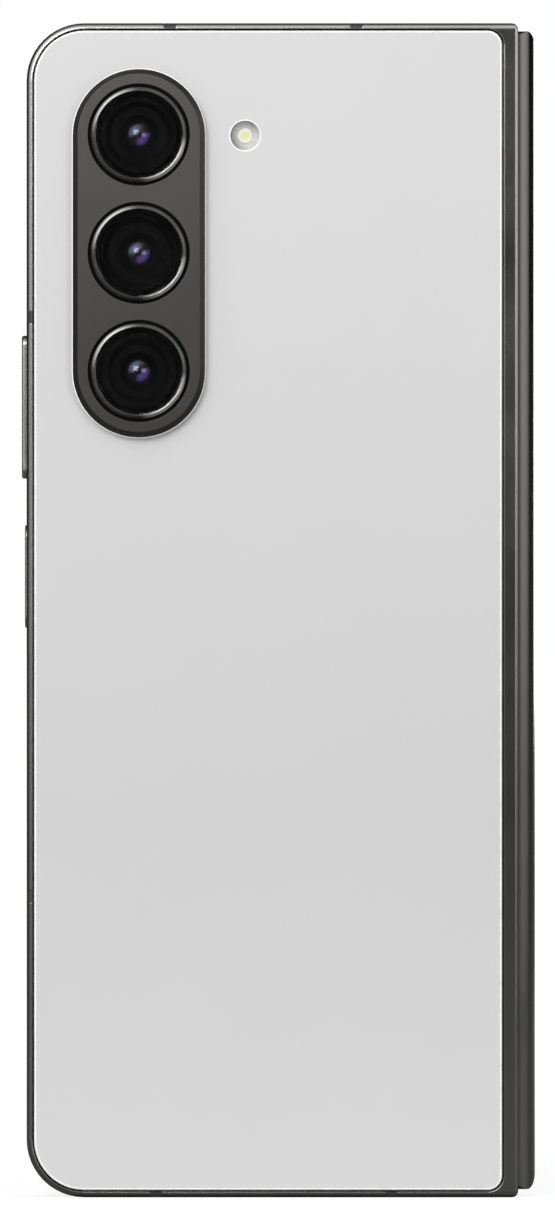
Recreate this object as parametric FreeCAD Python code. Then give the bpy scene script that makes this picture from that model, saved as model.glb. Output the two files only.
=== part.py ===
import FreeCAD, Part
import math
import os

# Book-style folding smartphone, folded shut and standing on its bottom edge. Millimetres, +Z up.
# The rear half (cameras, keys) has its back towards -Y, the cover half (outer screen) faces +Y,
# and the hinge spine runs up the +X side. The pieces are drawn in the fold frame: x = 0 is the
# hinge-side edge plane of both halves, y = 0 is the plane between them, z = 0 is the bottom edge.
# Cover-half pieces are drawn like rear-half ones and then mirrored in y = 0.

V = FreeCAD.Vector
SAME = 1e-6                 # two lengths closer than this are equal
TINY = 1e-4                 # what a full round end lacks of a half circle
Y_DIR = V(0, 1, 0)
Z_DIR = V(0, 0, 1)

# ---------------------------------------------------------------- overall sizes
PHONE_LENGTH = 154.9
HALF_WIDTH = 64.9
HALF_THICKNESS = 6.1
LIP_HEIGHT = 0.5            # bezel lip that stands over the inner display
LIP_GAP = 0.2               # air between the lips of the shut halves
CORNER_RADIUS = 7.6         # outer corners on the free side
HINGE_CORNER_RADIUS = 0.9   # outer corners on the hinge side
EDGE_ROUND = 0.8            # rounding of the outer edge at the back
FRONT_ROUND = 0.3           # rounding of the outer edge at the inner display
HINGE_CHAMFER = 0.27        # bright bevel along the hinge-side edge
EDGE_GAP = 0.05             # each half stops this far short of the plane where they meet when open

# ---------------------------------------------------------------- frame walls
RIM = 1.7                   # outer wall round the inner bays
FLOOR = 0.6                 # web that carries the inner display
DISPLAY_THICKNESS = 0.3
END_WALL = 0.85             # walls that cover the ends of the spine
RIB = 0.9                   # walls between the bays
BAY_HINGE_CORNER = 1.0      # inner corners of the bays beside the hinge
RIB_DROP = 0.7              # the ribs stop this far under the glass
CAVITY_WALL = 1.0           # wall between the bays and the hinge cavity
CLEAR = 0.05                # general assembly clearance
CLOSE_CLEAR = 0.02          # clearance of a close fit, and glue lines
SLIDE_CLEAR = 0.12          # clearance round pieces that move in a slot

# ---------------------------------------------------------------- hinge
HINGE_OFFSET = 1.75         # each hinge axis from the edge plane and from the mid-plane
SPINE_REACH = 2.24          # how far the spine stands out past the halves
SPINE_GAP = 0.16            # running gap between the spine and the halves
SPINE_WALL = 0.8
SPINE_INSET = 1.0           # the spine is this much shorter than the phone at each end
SPINE_FRONT = 0.5           # front of the hinge mechanism, ahead of the axes
SPINE_CORNER_X = 1.1
SPINE_CORNER_Z = 2.1
SPINE_CORNER_Y = 1.6
SPINE_CAP_THICKNESS = 0.8
TONGUE_WIDTH = 1.0          # arc tongue on each arm, concentric with its hinge axis
TONGUE_SHELL_GAP = 0.24     # between the tongue and the spine's shell
TONGUE_CLEAR = 0.05
TONGUE_START = 195.0        # degrees about the axis, at rest
TONGUE_END = 330.0
TRACK_START = 245.0
TRACK_END = 425.0
NOTCH_START = 230.0         # between these angles the shell and brackets are open for the arm necks
NOTCH_END = 293.5
ARM_WIDTH = 4.6
ARM_DROP = 0.3              # arm necks lie this much deeper than the hinge axis
ARM_THICKNESS = 0.8
ARM_REACH = 16.0            # arms end this far inside the half
ARM_SPACING = 1.4           # between a rear arm and the cover arm beside it
BRACKET_CHEEK = 1.0
BRACKET_END_DISTANCE = 16.0
CENTRE_PLATE_HALF_WIDTH = 0.9
PLATE_THICKNESS = 0.2       # wing plates
WING_TILT = 20.0            # wing plates droop this much when the phone is shut
WING_LENGTH = 3.1
WING_MARGIN = 0.24          # the wing plate's round edge lies this far from the rebate wall
REBATE_DEPTH = 0.4
SCREW_RADIUS = 0.5
SCREW_HEAD_RADIUS = 0.95
SCREW_HEAD = 0.4
SCREW_HEAD_BEVEL = 0.15
SCREW_DRIVE = 0.42
SCREW_SKIN = 0.25           # floor left in front of a screw hole
ARM_SCREW_SHARES = (0.31, 0.76)  # along the part of an arm that lies in the bay

# ---------------------------------------------------------------- inner display and lips
DISPLAY_MARGIN = 1.9        # flat display edge from the outer edge
DISPLAY_CORNER = 5.7
FOLD_MARGIN = 2.7           # the bending strip stops short of the lips
FOLD_START_GAP = 0.148      # the bending strip starts this far past the wing plate's pivot
FOLD_STEPS = 16
SEARCH_STEPS = 400          # coarse search and fine bisection for each point's turn
BISECTIONS = 40
FOLD_TIP_GAP = 0.01         # half of the slit between the two strips where they meet
BLEND_START_OUT = (0.5, 1.0)  # the display follows the half up to here: this far behind the axis line and
BLEND_END_OUT = (-0.4, 0.3)   # short of the fold plane, past the hinge offset; the spine after the second
LIP_OUTER = 0.55
LIP_INNER = 2.6
LIP_SPINE_CLEAR = 0.15      # the lips stop this far short of the spine's front

# ---------------------------------------------------------------- back glass, cover glass
GLASS_MARGIN = 1.0
GLASS_THICKNESS = 0.5
GLASS_CORNER = 6.6
GLASS_HINGE_MARGIN = 2.19
GLASS_HINGE_CORNER = 1.9
GLASS_BEVEL = 0.15
GLASS_GROOVE = 0.22            # dark line left open round each outer glass
GLASS_GROOVE_DEPTH = 0.35
LENS_BEVEL = 0.08           # ground edges of the small lenses
PANEL_THICKNESS = 0.6       # cover screen panel under its glass
PANEL_END_GAP = 2.2         # the panel stops this far inside the end walls

# ---------------------------------------------------------------- camera island
ISLAND_CENTRE = 14.82       # from the free side edge
ISLAND_HALF_WIDTH = 8.68
ISLAND_HEIGHT = 1.9
ISLAND_BEVEL = 0.65
ISLAND_FLANGE = 1.0
ISLAND_FLANGE_THICKNESS = 0.8
LENS_TOP = 14.8             # first lens from the top edge
LENS_PITCH = 15.57
LENS_COUNT = 3
LENS_GROOVE_WIDTH = 0.435   # groove round each ring
LENS_GROOVE_DEPTH = 0.6
RING_RADIUS = 6.3
RING_WALL = 0.54
RING_PROUD = 0.35
RING_SEAT_DEPTH = 1.5
RING_LEDGE = 0.6
RING_CHAMFER = 0.15
COVER_LENS_THICKNESS = 0.6
COVER_LENS_RECESS = 0.1
BARREL_CLEAR = 0.16         # camera barrel inside the ring's ledge
BARREL_MOUTH_DEPTH = 0.9
CAMERA_NAMES = ("ultrawide_camera", "wide_camera", "telephoto_camera")
MOUTH_RIMS = (0.6, 0.3, 0.8)  # flat rim of each barrel round its mouth
MOUTH_DRAFT = 0.7           # the outer step of a mouth narrows by this much
MOUTH_STEP = 1.0            # the inner step starts this far inside the outer one
ELEMENT_RADIUS = 1.5
ELEMENT_HEIGHT = 0.5
ELEMENT_LEDGE = 0.35        # flat round the front element
CAMERA_BASE = 11.0
CAMERA_BASE_HEIGHT = 3.4
CAMERA_BASE_CORNER = 0.8
FLASH_X = 28.83
FLASH_TOP = 14.84
FLASH_RADIUS = 1.98
FLASH_FLANGE = 0.4
FLASH_FLANGE_THICKNESS = 0.35
LED_SIZE = 1.7
LED_HEIGHT = 0.35

# ---------------------------------------------------------------- keys
VOLUME_TOP = 50.63          # centre from the top edge
VOLUME_LENGTH = 18.9
VOLUME_PROUD = 0.65
VOLUME_HEIGHT = 2.4
SIDE_KEY_TOP = 73.0
SIDE_KEY_LENGTH = 13.6
SIDE_KEY_PROUD = 0.24
SIDE_KEY_HEIGHT = 3.0
KEY_FLANGE = 0.7
KEY_FLANGE_THICKNESS = 0.5
KEY_TRAVEL = 0.2
ROCKER_PLAY = 0.25          # the volume key rocks: its flange stands this far off the wall
KEY_END_SLOPE = 0.3
SWITCH_DEPTH = 0.7
SWITCH_LENGTH = 3.2
DOME_RADIUS = 0.9
DOME_HEIGHT = 0.25
KEY_PIN_DEPTH = 0.9         # the volume key rocks on a pin this far inside the outer wall
KEY_PIN_RADIUS = 0.35
KEY_PIN_REACH = 0.3         # the pin's ends stand this far out of the key

# ---------------------------------------------------------------- ports
USB_WIDTH = 8.94
USB_HEIGHT = 3.26
USB_WALL = 0.25
USB_DEPTH = 7.2
USB_SET_BACK = 0.15         # the shell's mouth from the bottom edge
USB_BACK = 0.6              # back wall of the socket
USB_FOOT_START = 1.5        # from the inner side of the bottom wall
USB_TONGUE_WIDTH = 6.7
USB_TONGUE_THICKNESS = 0.7
USB_TONGUE_START = 1.1      # from the bottom edge
USB_TONGUE_ROOT = 1.0
SPEAKER_HOLES = 6
SPEAKER_HOLE_RADIUS = 0.65
SPEAKER_PITCH = 2.0
SPEAKER_PLACE = 14.4        # from the free side edge
MIC_RADIUS = 0.4
MIC_OFFSET = 11.95          # bottom microphone from the socket's middle
MIC_TOP_PLACE = 34.9        # from the free side edge
MIC_DEPTH = 2.5
MIC_WIDTH = 3.4
MIC_HEIGHT = 2.4

# ---------------------------------------------------------------- antenna breaks, from the free side or the top
BREAK_WIDTH = 1.5
BREAKS_TOP = (18.9, 43.5)
BREAKS_BOTTOM = (17.1, 48.1)
BREAKS_SIDE = (38.8, 115.2)

# ---------------------------------------------------------------- inside the rear half
BAY_HINGE_CLEAR = 17.5      # boards and battery stop here, clear of the arms
BOTTOM_BAY = 26.0           # bottom edge to the rib under the battery
ISLAND_RIB_GAP = 7.28       # island flange to the rib above the battery
BATTERY_SIDE = 3.7          # from the free side edge
BATTERY_CORNER = 2.0
BATTERY_EDGE = 0.8          # soft edge of the pouch
BATTERY_END_GAP = 0.3
COVER_BATTERY_SHORTER = 12.0
COIL_RADIUS = 19.0
COIL_HOLE = 9.5
COIL_THICKNESS = 0.25
BOARD_THICKNESS = 0.8
BOARD_CLEAR = 0.4
BOARD_CORNER = 1.0
CHARGING_BOARD_MARGIN = 1.0  # wider than the socket on each side
COVER_BOARD_START = 4.0     # from the half's middle
FLEX_WIDTH = 1.8
FLEX_THICKNESS = 0.15
FLEX_LAND = 0.9             # soldered end on the main board
FLEX_TAIL = 4.0
FLEX_INSET = 0.2
BOARD_DEPTH = 2.2           # board face from the display floor
POST_RADIUS = 1.3
POST_INSET = 2.4            # posts from the edges of a board
SHIELD_HEIGHT = 1.3
SHIELD_GAP = 0.3            # from the island's flange
SHIELD_CORNER = 0.8
SHIELD_EDGE = 0.3
SHIELD_INSET = 2.0          # from the rib to the first shield
SHIELD_LENGTH = 16.0
SHIELD_PITCH = 17.5
SHIELD_TOP = 22.0           # second shield's end from the top edge
SPEAKER_WIDTH = 16.0
SPEAKER_BOX_HEIGHT = 17.0
SPEAKER_BOX_START = 3.0     # from the inner side of the bottom wall
SPEAKER_BOX_DROP = 0.6      # below the back glass
SPEAKER_BOX_CORNER = 2.0
DUCT_INSET = 1.5            # the duct is this much narrower on each side
DUCT_OVERLAP = 0.5
DUCT_DROP = 0.6
DUCT_LIFT = 0.4
DIAPHRAGM_INSET = 2.0
DIAPHRAGM_DEPTH = 0.5
MOTOR_RADIUS = 4.0
MOTOR_THICKNESS = 3.0
MOTOR_OFFSET = 10.0         # from the half's middle
MOTOR_START = 8.5           # from the inner side of the bottom wall
MOTOR_EDGE = 0.4
MAGNET_LENGTH = 18.0
MAGNET_WIDTH = 1.4
MAGNET_THICKNESS = 1.5
MAGNET_BELOW = 1.0          # lower magnet under the battery rib's line
MAGNET_ABOVE = 3.0          # upper magnet over it
UDC_RADIUS = 2.0            # camera under the inner display
UDC_BASE = 5.2
UDC_SHOULDER = 0.6
UDC_OVERLAP = 1.0

# ---------------------------------------------------------------- inside the cover half
COVER_CAMERA_TOP = 7.6
COVER_CAMERA_RADIUS = 1.9
COVER_CAMERA_WALL = 0.4
COVER_CAMERA_MOUTH = 0.7
COVER_CAMERA_MOUTH_DEPTH = 0.5
COVER_CAMERA_BASE = 5.6
COVER_CAMERA_BASE_HEIGHT = 2.6
SCREEN_GAP = 0.1            # air between the panel side and what looks or sounds through it
EARPIECE_WIDTH = 10.0
EARPIECE_HEIGHT = 0.7
EARPIECE_TOP = 2.3
EARPIECE_BOX_LOW = 7.0      # box of the earpiece speaker, each way from its holes' centre
EARPIECE_BOX_HIGH = 9.0
EARPIECE_BOX_HEIGHT = 12.0
EARPIECE_BOX_CORNER = 1.2
EARPIECE_DUCT_END = 3.2     # short of the half's middle
EARPIECE_DUCT_DEPTH = 1.4
EARPIECE_DUCT_HEIGHT = 2.0
TRAY_TOP = 48.0             # SIM tray centre from the top edge
TRAY_CAP_LENGTH = 14.0
TRAY_CAP_HEIGHT = 2.0
TRAY_CAP_THICKNESS = 1.0
TRAY_BODY_LENGTH = 12.8
TRAY_BODY_HEIGHT = 1.1
TRAY_DEPTH = 17.0
TRAY_WALL = 0.35
TRAY_POCKET_START = 4.0     # from the cap
TRAY_PLAY = 0.01            # the card lies on the tray's floor
SIM_LENGTH = 12.3
SIM_WIDTH = 8.8
SIM_THICKNESS = 0.67
SIM_CORNER = 0.8
PIN_HOLE_RADIUS = 0.4
PIN_HOLE_DEPTH = 0.8
PIN_HOLE_INSET = 0.2        # from the middle of the cap's round end
READER_WALL = 0.4
READER_PAST = 1.2           # the reader ends this far behind the tray

# ---------------------------------------------------------------- derived sizes
DISPLAY_Y = LIP_HEIGHT + LIP_GAP / 2
BACK_Y = DISPLAY_Y + HALF_THICKNESS
FLOOR_TOP = DISPLAY_Y + DISPLAY_THICKNESS
FLOOR_BOTTOM = FLOOR_TOP + FLOOR
MID_Y = (DISPLAY_Y + BACK_Y) / 2
FLOOR_SEAT = FLOOR_BOTTOM + CLEAR  # pieces that lie on the display floor start here
GLASS_Y = BACK_Y - GLASS_THICKNESS
AXIS_X = -HINGE_OFFSET
AXIS_Y = -HINGE_OFFSET
ARM_TOP = HINGE_OFFSET + ARM_DROP
BLEND_START = (-HINGE_OFFSET - BLEND_START_OUT[0], HINGE_OFFSET - BLEND_START_OUT[1])
BLEND_END = (-HINGE_OFFSET - BLEND_END_OUT[0], HINGE_OFFSET - BLEND_END_OUT[1])
SPINE_RADIUS = HINGE_OFFSET + SPINE_REACH
CAVITY_RADIUS = SPINE_RADIUS + SPINE_GAP
SPINE_BORE = SPINE_RADIUS - SPINE_WALL
TONGUE_OUTER = SPINE_BORE - TONGUE_SHELL_GAP
TONGUE_INNER = TONGUE_OUTER - TONGUE_WIDTH
SPINE_LOW = SPINE_INSET
SPINE_HIGH = PHONE_LENGTH - SPINE_INSET
FRONT_X = AXIS_X - SPINE_FRONT
LIP_STOP = FRONT_X - LIP_SPINE_CLEAR
BOARD_FRONT = FLOOR_BOTTOM + BOARD_DEPTH
BOARD_BACK = BOARD_FRONT + BOARD_THICKNESS
BAY_EDGE = -(HINGE_OFFSET + CAVITY_RADIUS + CAVITY_WALL)
FREE_EDGE = -HALF_WIDTH
INNER_FREE = FREE_EDGE + RIM
HALF_MID_X = FREE_EDGE / 2
OVERSHOOT = 10.0            # how far large cutting tools run past the faces they cut
PAST = 1.0                  # the same for small ones
ISLAND_X = FREE_EDGE + ISLAND_CENTRE
TRAY_Z = PHONE_LENGTH - TRAY_TOP
POCKET_X = FREE_EDGE + TRAY_CAP_THICKNESS + TRAY_POCKET_START
FLASH_CENTRE_X = FREE_EDGE + FLASH_X
FLASH_CENTRE_Z = PHONE_LENGTH - FLASH_TOP
LENS_Z = [PHONE_LENGTH - LENS_TOP - LENS_PITCH * i for i in range(LENS_COUNT)]
ISLAND_TOP = BACK_Y + ISLAND_HEIGHT
BARREL_RADIUS = RING_RADIUS - RING_WALL - RING_LEDGE - BARREL_CLEAR
BARREL_TOP = -ISLAND_TOP - RING_PROUD + COVER_LENS_RECESS + COVER_LENS_THICKNESS + CLEAR
ELEMENT_SEAT = BARREL_TOP + BARREL_MOUTH_DEPTH + ELEMENT_HEIGHT
CHARGING_BOARD_HALF = USB_WIDTH / 2 + CHARGING_BOARD_MARGIN
USB_OUTER_WIDTH = USB_WIDTH + 2 * USB_WALL
USB_OUTER_HEIGHT = USB_HEIGHT + 2 * USB_WALL
BATTERY_LOW = BOTTOM_BAY
BATTERY_HIGH = LENS_Z[-1] - ISLAND_HALF_WIDTH - ISLAND_FLANGE - ISLAND_RIB_GAP
BATTERY_THICKNESS = GLASS_Y - PANEL_THICKNESS - FLOOR_SEAT - CLEAR
SPEAKER_X = FREE_EDGE + SPEAKER_PLACE
MIC_BOTTOM_X = HALF_MID_X + MIC_OFFSET
MIC_TOP_X = FREE_EDGE + MIC_TOP_PLACE
BRACKET_Z = [BRACKET_END_DISTANCE, PHONE_LENGTH / 2, PHONE_LENGTH - BRACKET_END_DISTANCE]
BRACKET_HALF = ARM_SPACING / 2 + ARM_WIDTH + BRACKET_CHEEK
WALL_EDGE = math.sqrt(CAVITY_RADIUS ** 2 - (HINGE_OFFSET - FLOOR_TOP) ** 2) + HINGE_OFFSET
WING_PIVOT_X = -(WALL_EDGE + WING_MARGIN)
FOLD_FLAT_LIMIT = FOLD_START_GAP - WING_PIVOT_X
WING_PIVOT_Y = -(FLOOR_TOP + CLOSE_CLEAR + PLATE_THICKNESS / 2)
SHIFT = V((HALF_WIDTH + VOLUME_PROUD - SPINE_REACH) / 2, (ISLAND_TOP + RING_PROUD - BACK_Y) / 2, 0)


# ================================================================ helpers
def box(x0, x1, y0, y1, z0, z1):
    """Box between two corners."""
    return Part.makeBox(x1 - x0, y1 - y0, z1 - z0, V(x0, y0, z0))


def rod_y(x, z, radius, y0, y1):
    """Cylinder along Y."""
    return Part.makeCylinder(radius, y1 - y0, V(x, y0, z), Y_DIR)


def rod_z(x, y, radius, z0, z1):
    """Cylinder along Z."""
    return Part.makeCylinder(radius, z1 - z0, V(x, y, z0), Z_DIR)


def rod_x(y, z, radius, x0, x1):
    """Cylinder along X."""
    return Part.makeCylinder(radius, x1 - x0, V(x0, y, z), V(1, 0, 0))


def prism(points, direction):
    """Extrude a closed polygon."""
    wire = Part.makePolygon(points + [points[0]])
    return Part.Face(wire).extrude(direction)


def rounded(x0, x1, z0, z1, y0, y1, free_radius, hinge_radius=None):
    """Plate normal to Y whose corners are rounded, with one radius per side."""
    hinge_radius = free_radius if hinge_radius is None else hinge_radius
    plate = box(x0, x1, y0, y1, z0, z1)
    for edge_x, radius in ((x0, free_radius), (x1, hinge_radius)):
        if radius > 0:
            plate = plate.makeFillet(radius, edges_at(plate, edge_x))
    return plate


def edges_at(shape, x):
    """The edges along Y that stand at one x."""
    found = []
    for edge in shape.Edges:
        a, b = edge.firstVertex().Point, edge.lastVertex().Point
        if abs(a.x - x) < SAME and abs(b.x - x) < SAME and abs(a.z - b.z) < SAME:
            found.append(edge)
    return found


def ring_edges(shape, y, x_limit=None):
    """The edges that lie in one plane y, up to x_limit."""
    found = []
    for edge in shape.Edges:
        box_ = edge.BoundBox
        if abs(box_.YMin - y) < SAME and abs(box_.YMax - y) < SAME:
            if x_limit is None or box_.XMin < x_limit:
                found.append(edge)
    return found


def slot_z(x, y, width, height, z0, z1):
    """Rounded slot across X, cut along Z."""
    reach = (width - height) / 2
    ends = [rod_z(x + s * reach, y, height / 2, z0, z1) for s in (-1, 1)]
    middle = box(x - reach, x + reach, y - height / 2, y + height / 2, z0, z1)
    return middle.fuse(ends).removeSplitter()


def stadium_x(x0, x1, y, z, length, height):
    """Bar along X with a section rounded at both ends, length along Z."""
    reach = (length - height) / 2
    ends = [rod_x(y, z + s * reach, height / 2, x0, x1) for s in (-1, 1)]
    middle = box(x0, x1, y - height / 2, y + height / 2, z - reach, z + reach)
    return middle.fuse(ends).removeSplitter()


def sector(r0, r1, start, end, z0, z1):
    """Annular sector about the hinge axis of the rear half."""
    def at(radius, angle):
        a = math.radians(angle)
        return V(AXIS_X + radius * math.cos(a), AXIS_Y + radius * math.sin(a), z0)
    middle = (start + end) / 2
    edges = [
        Part.Arc(at(r0, start), at(r0, middle), at(r0, end)).toShape(),
        Part.makeLine(at(r0, end), at(r1, end)),
        Part.Arc(at(r1, end), at(r1, middle), at(r1, start)).toShape(),
        Part.makeLine(at(r1, start), at(r0, start)),
    ]
    return Part.Face(Part.Wire(edges)).extrude(V(0, 0, z1 - z0))


def spine_section(radius, front, z0, z1):
    """Prism with the spine's section: two arcs about the hinge axes and a flat."""
    corner = radius * math.sqrt(0.5)
    low = [V(front, AXIS_Y - radius, z0), V(AXIS_X, AXIS_Y - radius, z0), V(AXIS_X + radius, AXIS_Y, z0)]
    high = [V(p.x, -p.y, z0) for p in low]
    edges = [
        Part.Arc(low[1], V(AXIS_X + corner, AXIS_Y - corner, z0), low[2]).toShape(),
        Part.makeLine(low[2], high[2]),
        Part.Arc(high[2], V(AXIS_X + corner, -AXIS_Y + corner, z0), high[1]).toShape(),
    ]
    if front < AXIS_X:
        edges += [Part.makeLine(a, b) for a, b in ((high[1], high[0]), (high[0], low[0]), (low[0], low[1]))]
    else:
        edges += [Part.makeLine(high[1], low[1])]
    return Part.Face(Part.Wire(edges)).extrude(V(0, 0, z1 - z0))


def mirrored(shape):
    """The cover-half twin of a rear-half shape."""
    return shape.mirror(V(0, 0, 0), Y_DIR)


def cut_all(shape, tools):
    """Cut a list of tools from a shape."""
    return shape.cut(tools).removeSplitter()


def save(name, *solids):
    """Write one node, moved so that the base centre of the whole phone is the origin."""
    shape = solids[0] if len(solids) == 1 else Part.makeCompound(list(solids))
    shape = shape.copy()
    shape.translate(SHIFT)
    shape.exportStep(f"parts/{name}.step")
    return shape


# ================================================================ the two halves' frames
def arm_range(bracket_z, is_cover):
    """Bottom and top of one hinge arm at one bracket."""
    low = bracket_z + ARM_SPACING / 2 if is_cover else bracket_z - ARM_SPACING / 2 - ARM_WIDTH
    return low, low + ARM_WIDTH


def outer_block():
    """The half's outside: rounded outline, rounded edges and the bevel along the hinge side."""
    block = rounded(FREE_EDGE, OVERSHOOT, 0, PHONE_LENGTH, -BACK_Y, -DISPLAY_Y, CORNER_RADIUS, 0)
    block = block.makeFillet(EDGE_ROUND, ring_edges(block, -BACK_Y, 0))
    block = block.makeFillet(FRONT_ROUND, ring_edges(block, -DISPLAY_Y, 0))
    keep = rounded(FREE_EDGE - OVERSHOOT, -EDGE_GAP, 0, PHONE_LENGTH, -BACK_Y, 0, 0, HINGE_CORNER_RADIUS)
    bevel = prism(
        [
            V(-EDGE_GAP - HINGE_CHAMFER, -BACK_Y, 0),
            V(0, -BACK_Y, 0),
            V(0, HINGE_CHAMFER + EDGE_GAP - BACK_Y, 0),
        ],
        V(0, 0, PHONE_LENGTH),
    )
    return block.common(keep).cut(bevel)


def turning_corner(z0, z1):
    """What the inner corner of an end wall must leave free while the halves roll on each other."""
    corner = box(AXIS_X, OVERSHOOT, AXIS_Y, OVERSHOOT, z0, z1)
    return corner.cut(rod_z(AXIS_X, AXIS_Y, HINGE_OFFSET - EDGE_GAP, z0, z1))


def bays():
    """The three bays behind the back, with ribs between them."""
    levels = [
        (RIM, BATTERY_LOW - RIB / 2),
        (BATTERY_LOW + RIB / 2, BATTERY_HIGH - RIB / 2),
        (BATTERY_HIGH + RIB / 2, PHONE_LENGTH - RIM),
    ]
    corner = CORNER_RADIUS - RIM
    whole = rounded(
        INNER_FREE, BAY_EDGE, RIM, PHONE_LENGTH - RIM, -GLASS_Y, -FLOOR_BOTTOM, corner, BAY_HINGE_CORNER
    )
    rib_top = -GLASS_Y + RIB_DROP
    over_ribs = whole.common(box(FREE_EDGE, 0, -GLASS_Y, rib_top, 0, PHONE_LENGTH))
    below = [whole.common(box(FREE_EDGE, 0, rib_top, -FLOOR_BOTTOM, z0, z1)) for z0, z1 in levels]
    return [over_ribs] + below


def glass_outline(grow, y0, y1):
    """Outline of the outer glass of a half, grown by a clearance."""
    return rounded(
        FREE_EDGE + GLASS_MARGIN - grow,
        -GLASS_HINGE_MARGIN + grow,
        GLASS_MARGIN - grow,
        PHONE_LENGTH - GLASS_MARGIN + grow,
        y0,
        y1,
        GLASS_CORNER + grow,
        GLASS_HINGE_CORNER + grow,
    )


def base_frame(is_cover):
    """A half's metal frame before its ports, drawn on the rear side."""
    frame = outer_block()
    display_seat = rounded(
        FREE_EDGE + DISPLAY_MARGIN - CLEAR,
        OVERSHOOT,
        DISPLAY_MARGIN - CLEAR,
        PHONE_LENGTH - DISPLAY_MARGIN + CLEAR,
        -FLOOR_TOP,
        -DISPLAY_Y + OVERSHOOT,
        DISPLAY_CORNER + CLEAR,
        0,
    )
    cavity = rod_z(AXIS_X, AXIS_Y, CAVITY_RADIUS, END_WALL, PHONE_LENGTH - END_WALL)
    cavity_mouth = box(AXIS_X, OVERSHOOT, AXIS_Y - CAVITY_RADIUS, 0, END_WALL, PHONE_LENGTH - END_WALL)
    rebate = box(
        WING_PIVOT_X - WING_MARGIN,
        0,
        -FLOOR_TOP - REBATE_DEPTH,
        0,
        DISPLAY_MARGIN,
        PHONE_LENGTH - DISPLAY_MARGIN,
    )
    tools = [display_seat, cavity, cavity_mouth, rebate]
    tools.append(glass_outline(CLEAR, -BACK_Y - OVERSHOOT, -GLASS_Y))
    tools.append(glass_outline(GLASS_GROOVE, -BACK_Y - OVERSHOOT, -BACK_Y + GLASS_GROOVE_DEPTH))
    tools += bays()
    tools += [turning_corner(-PAST, END_WALL), turning_corner(PHONE_LENGTH - END_WALL, PHONE_LENGTH + PAST)]
    frame = frame.cut(tools)
    pads = []
    windows = []
    for bracket_z in BRACKET_Z:
        low, high = arm_range(bracket_z, is_cover)
        z0, z1 = low - SLIDE_CLEAR, high + SLIDE_CLEAR
        arm_back = -ARM_TOP - ARM_THICKNESS
        pads.append(box(-ARM_REACH, BAY_EDGE + CLEAR, -ARM_TOP, -FLOOR_BOTTOM, low, high))
        heads_back = arm_back - SCREW_HEAD - SLIDE_CLEAR
        windows.append(box(BAY_EDGE - CLEAR, AXIS_X, arm_back - SLIDE_CLEAR, -ARM_TOP + CLEAR, z0, z1))
        windows.append(box(-ARM_REACH - CLEAR, BAY_EDGE, heads_back, -ARM_TOP, z0, z1))
    post_top = -FLOOR_BOTTOM - BOARD_DEPTH
    posts = [rod_y(x, z, POST_RADIUS, post_top, -FLOOR_BOTTOM) for x, z in post_places(is_cover)]
    holes = [screw_hole(x, z, -ARM_TOP - ARM_THICKNESS) for x, z in arm_screw_places(is_cover)]
    holes += [screw_hole(x, z, post_top) for x, z in post_places(is_cover)]
    return frame.cut(windows).fuse(pads + posts).cut(holes).removeSplitter()


def post_places(is_cover):
    """Where the board posts stand in the top bay."""
    low = BATTERY_HIGH + RIB / 2 + POST_INSET
    high = PHONE_LENGTH - RIM - MIC_DEPTH - POST_INSET
    places = [(-BAY_HINGE_CLEAR - POST_INSET, z) for z in (low, high)]
    if not is_cover:
        places.append((ISLAND_X + CAMERA_BASE / 2 + POST_INSET, low))
    return places


def arm_screw_places(is_cover):
    """Where the arm screws go: two per arm."""
    places = []
    for bracket_z in BRACKET_Z:
        low, high = arm_range(bracket_z, is_cover)
        for share in ARM_SCREW_SHARES:
            places.append((-ARM_REACH + share * (ARM_REACH + BAY_EDGE), (low + high) / 2))
    return places


def screw_hole(x, z, mouth):
    """Threaded hole from a mouth at one depth, blind inside the display floor."""
    return rod_y(x, z, SCREW_RADIUS + CLOSE_CLEAR, mouth, -FLOOR_TOP - SCREW_SKIN)


def screw(x, z, face):
    """Screw whose pan head sits on one face and whose shank ends inside the display floor."""
    head = rod_y(x, z, SCREW_HEAD_RADIUS, face - SCREW_HEAD, face)
    head = head.makeChamfer(SCREW_HEAD_BEVEL, ring_edges(head, face - SCREW_HEAD))
    shank = rod_y(x, z, SCREW_RADIUS, face, -FLOOR_TOP - SCREW_SKIN - CLEAR)
    corners = [math.radians(60 * i) for i in range(6)]
    drive = prism(
        [V(x + SCREW_DRIVE * math.cos(a), face - SCREW_HEAD, z + SCREW_DRIVE * math.sin(a)) for a in corners],
        V(0, SCREW_HEAD / 2, 0),
    )
    return head.fuse(shank).cut(drive)


def break_slabs():
    """Slabs that split the outer wall where the antenna breaks are."""
    half = BREAK_WIDTH / 2
    back, front = -BACK_Y - PAST, -DISPLAY_Y + PAST
    slabs = []
    for place in BREAKS_TOP:
        x = FREE_EDGE + place
        slabs.append(box(x - half, x + half, back, front, PHONE_LENGTH - RIM, PHONE_LENGTH + PAST))
    for place in BREAKS_BOTTOM:
        x = FREE_EDGE + place
        slabs.append(box(x - half, x + half, back, front, -PAST, RIM))
    for place in BREAKS_SIDE:
        z = PHONE_LENGTH - place
        slabs.append(box(FREE_EDGE - PAST, INNER_FREE, back, front, z - half, z + half))
    return slabs


def split_breaks(frame):
    """Divide a frame into its metal and the plastic antenna breaks."""
    slabs = break_slabs()
    plugs = []
    for slab in slabs:
        plugs += frame.common(slab).Solids
    return frame.cut(slabs), plugs


def key_slot(top, length, height):
    """Slot through the free-side wall for a key."""
    return stadium_x(
        FREE_EDGE - PAST, INNER_FREE + CLOSE_CLEAR, -MID_Y, PHONE_LENGTH - top,
        length + 2 * SLIDE_CLEAR, height + 2 * SLIDE_CLEAR,
    )


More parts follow.
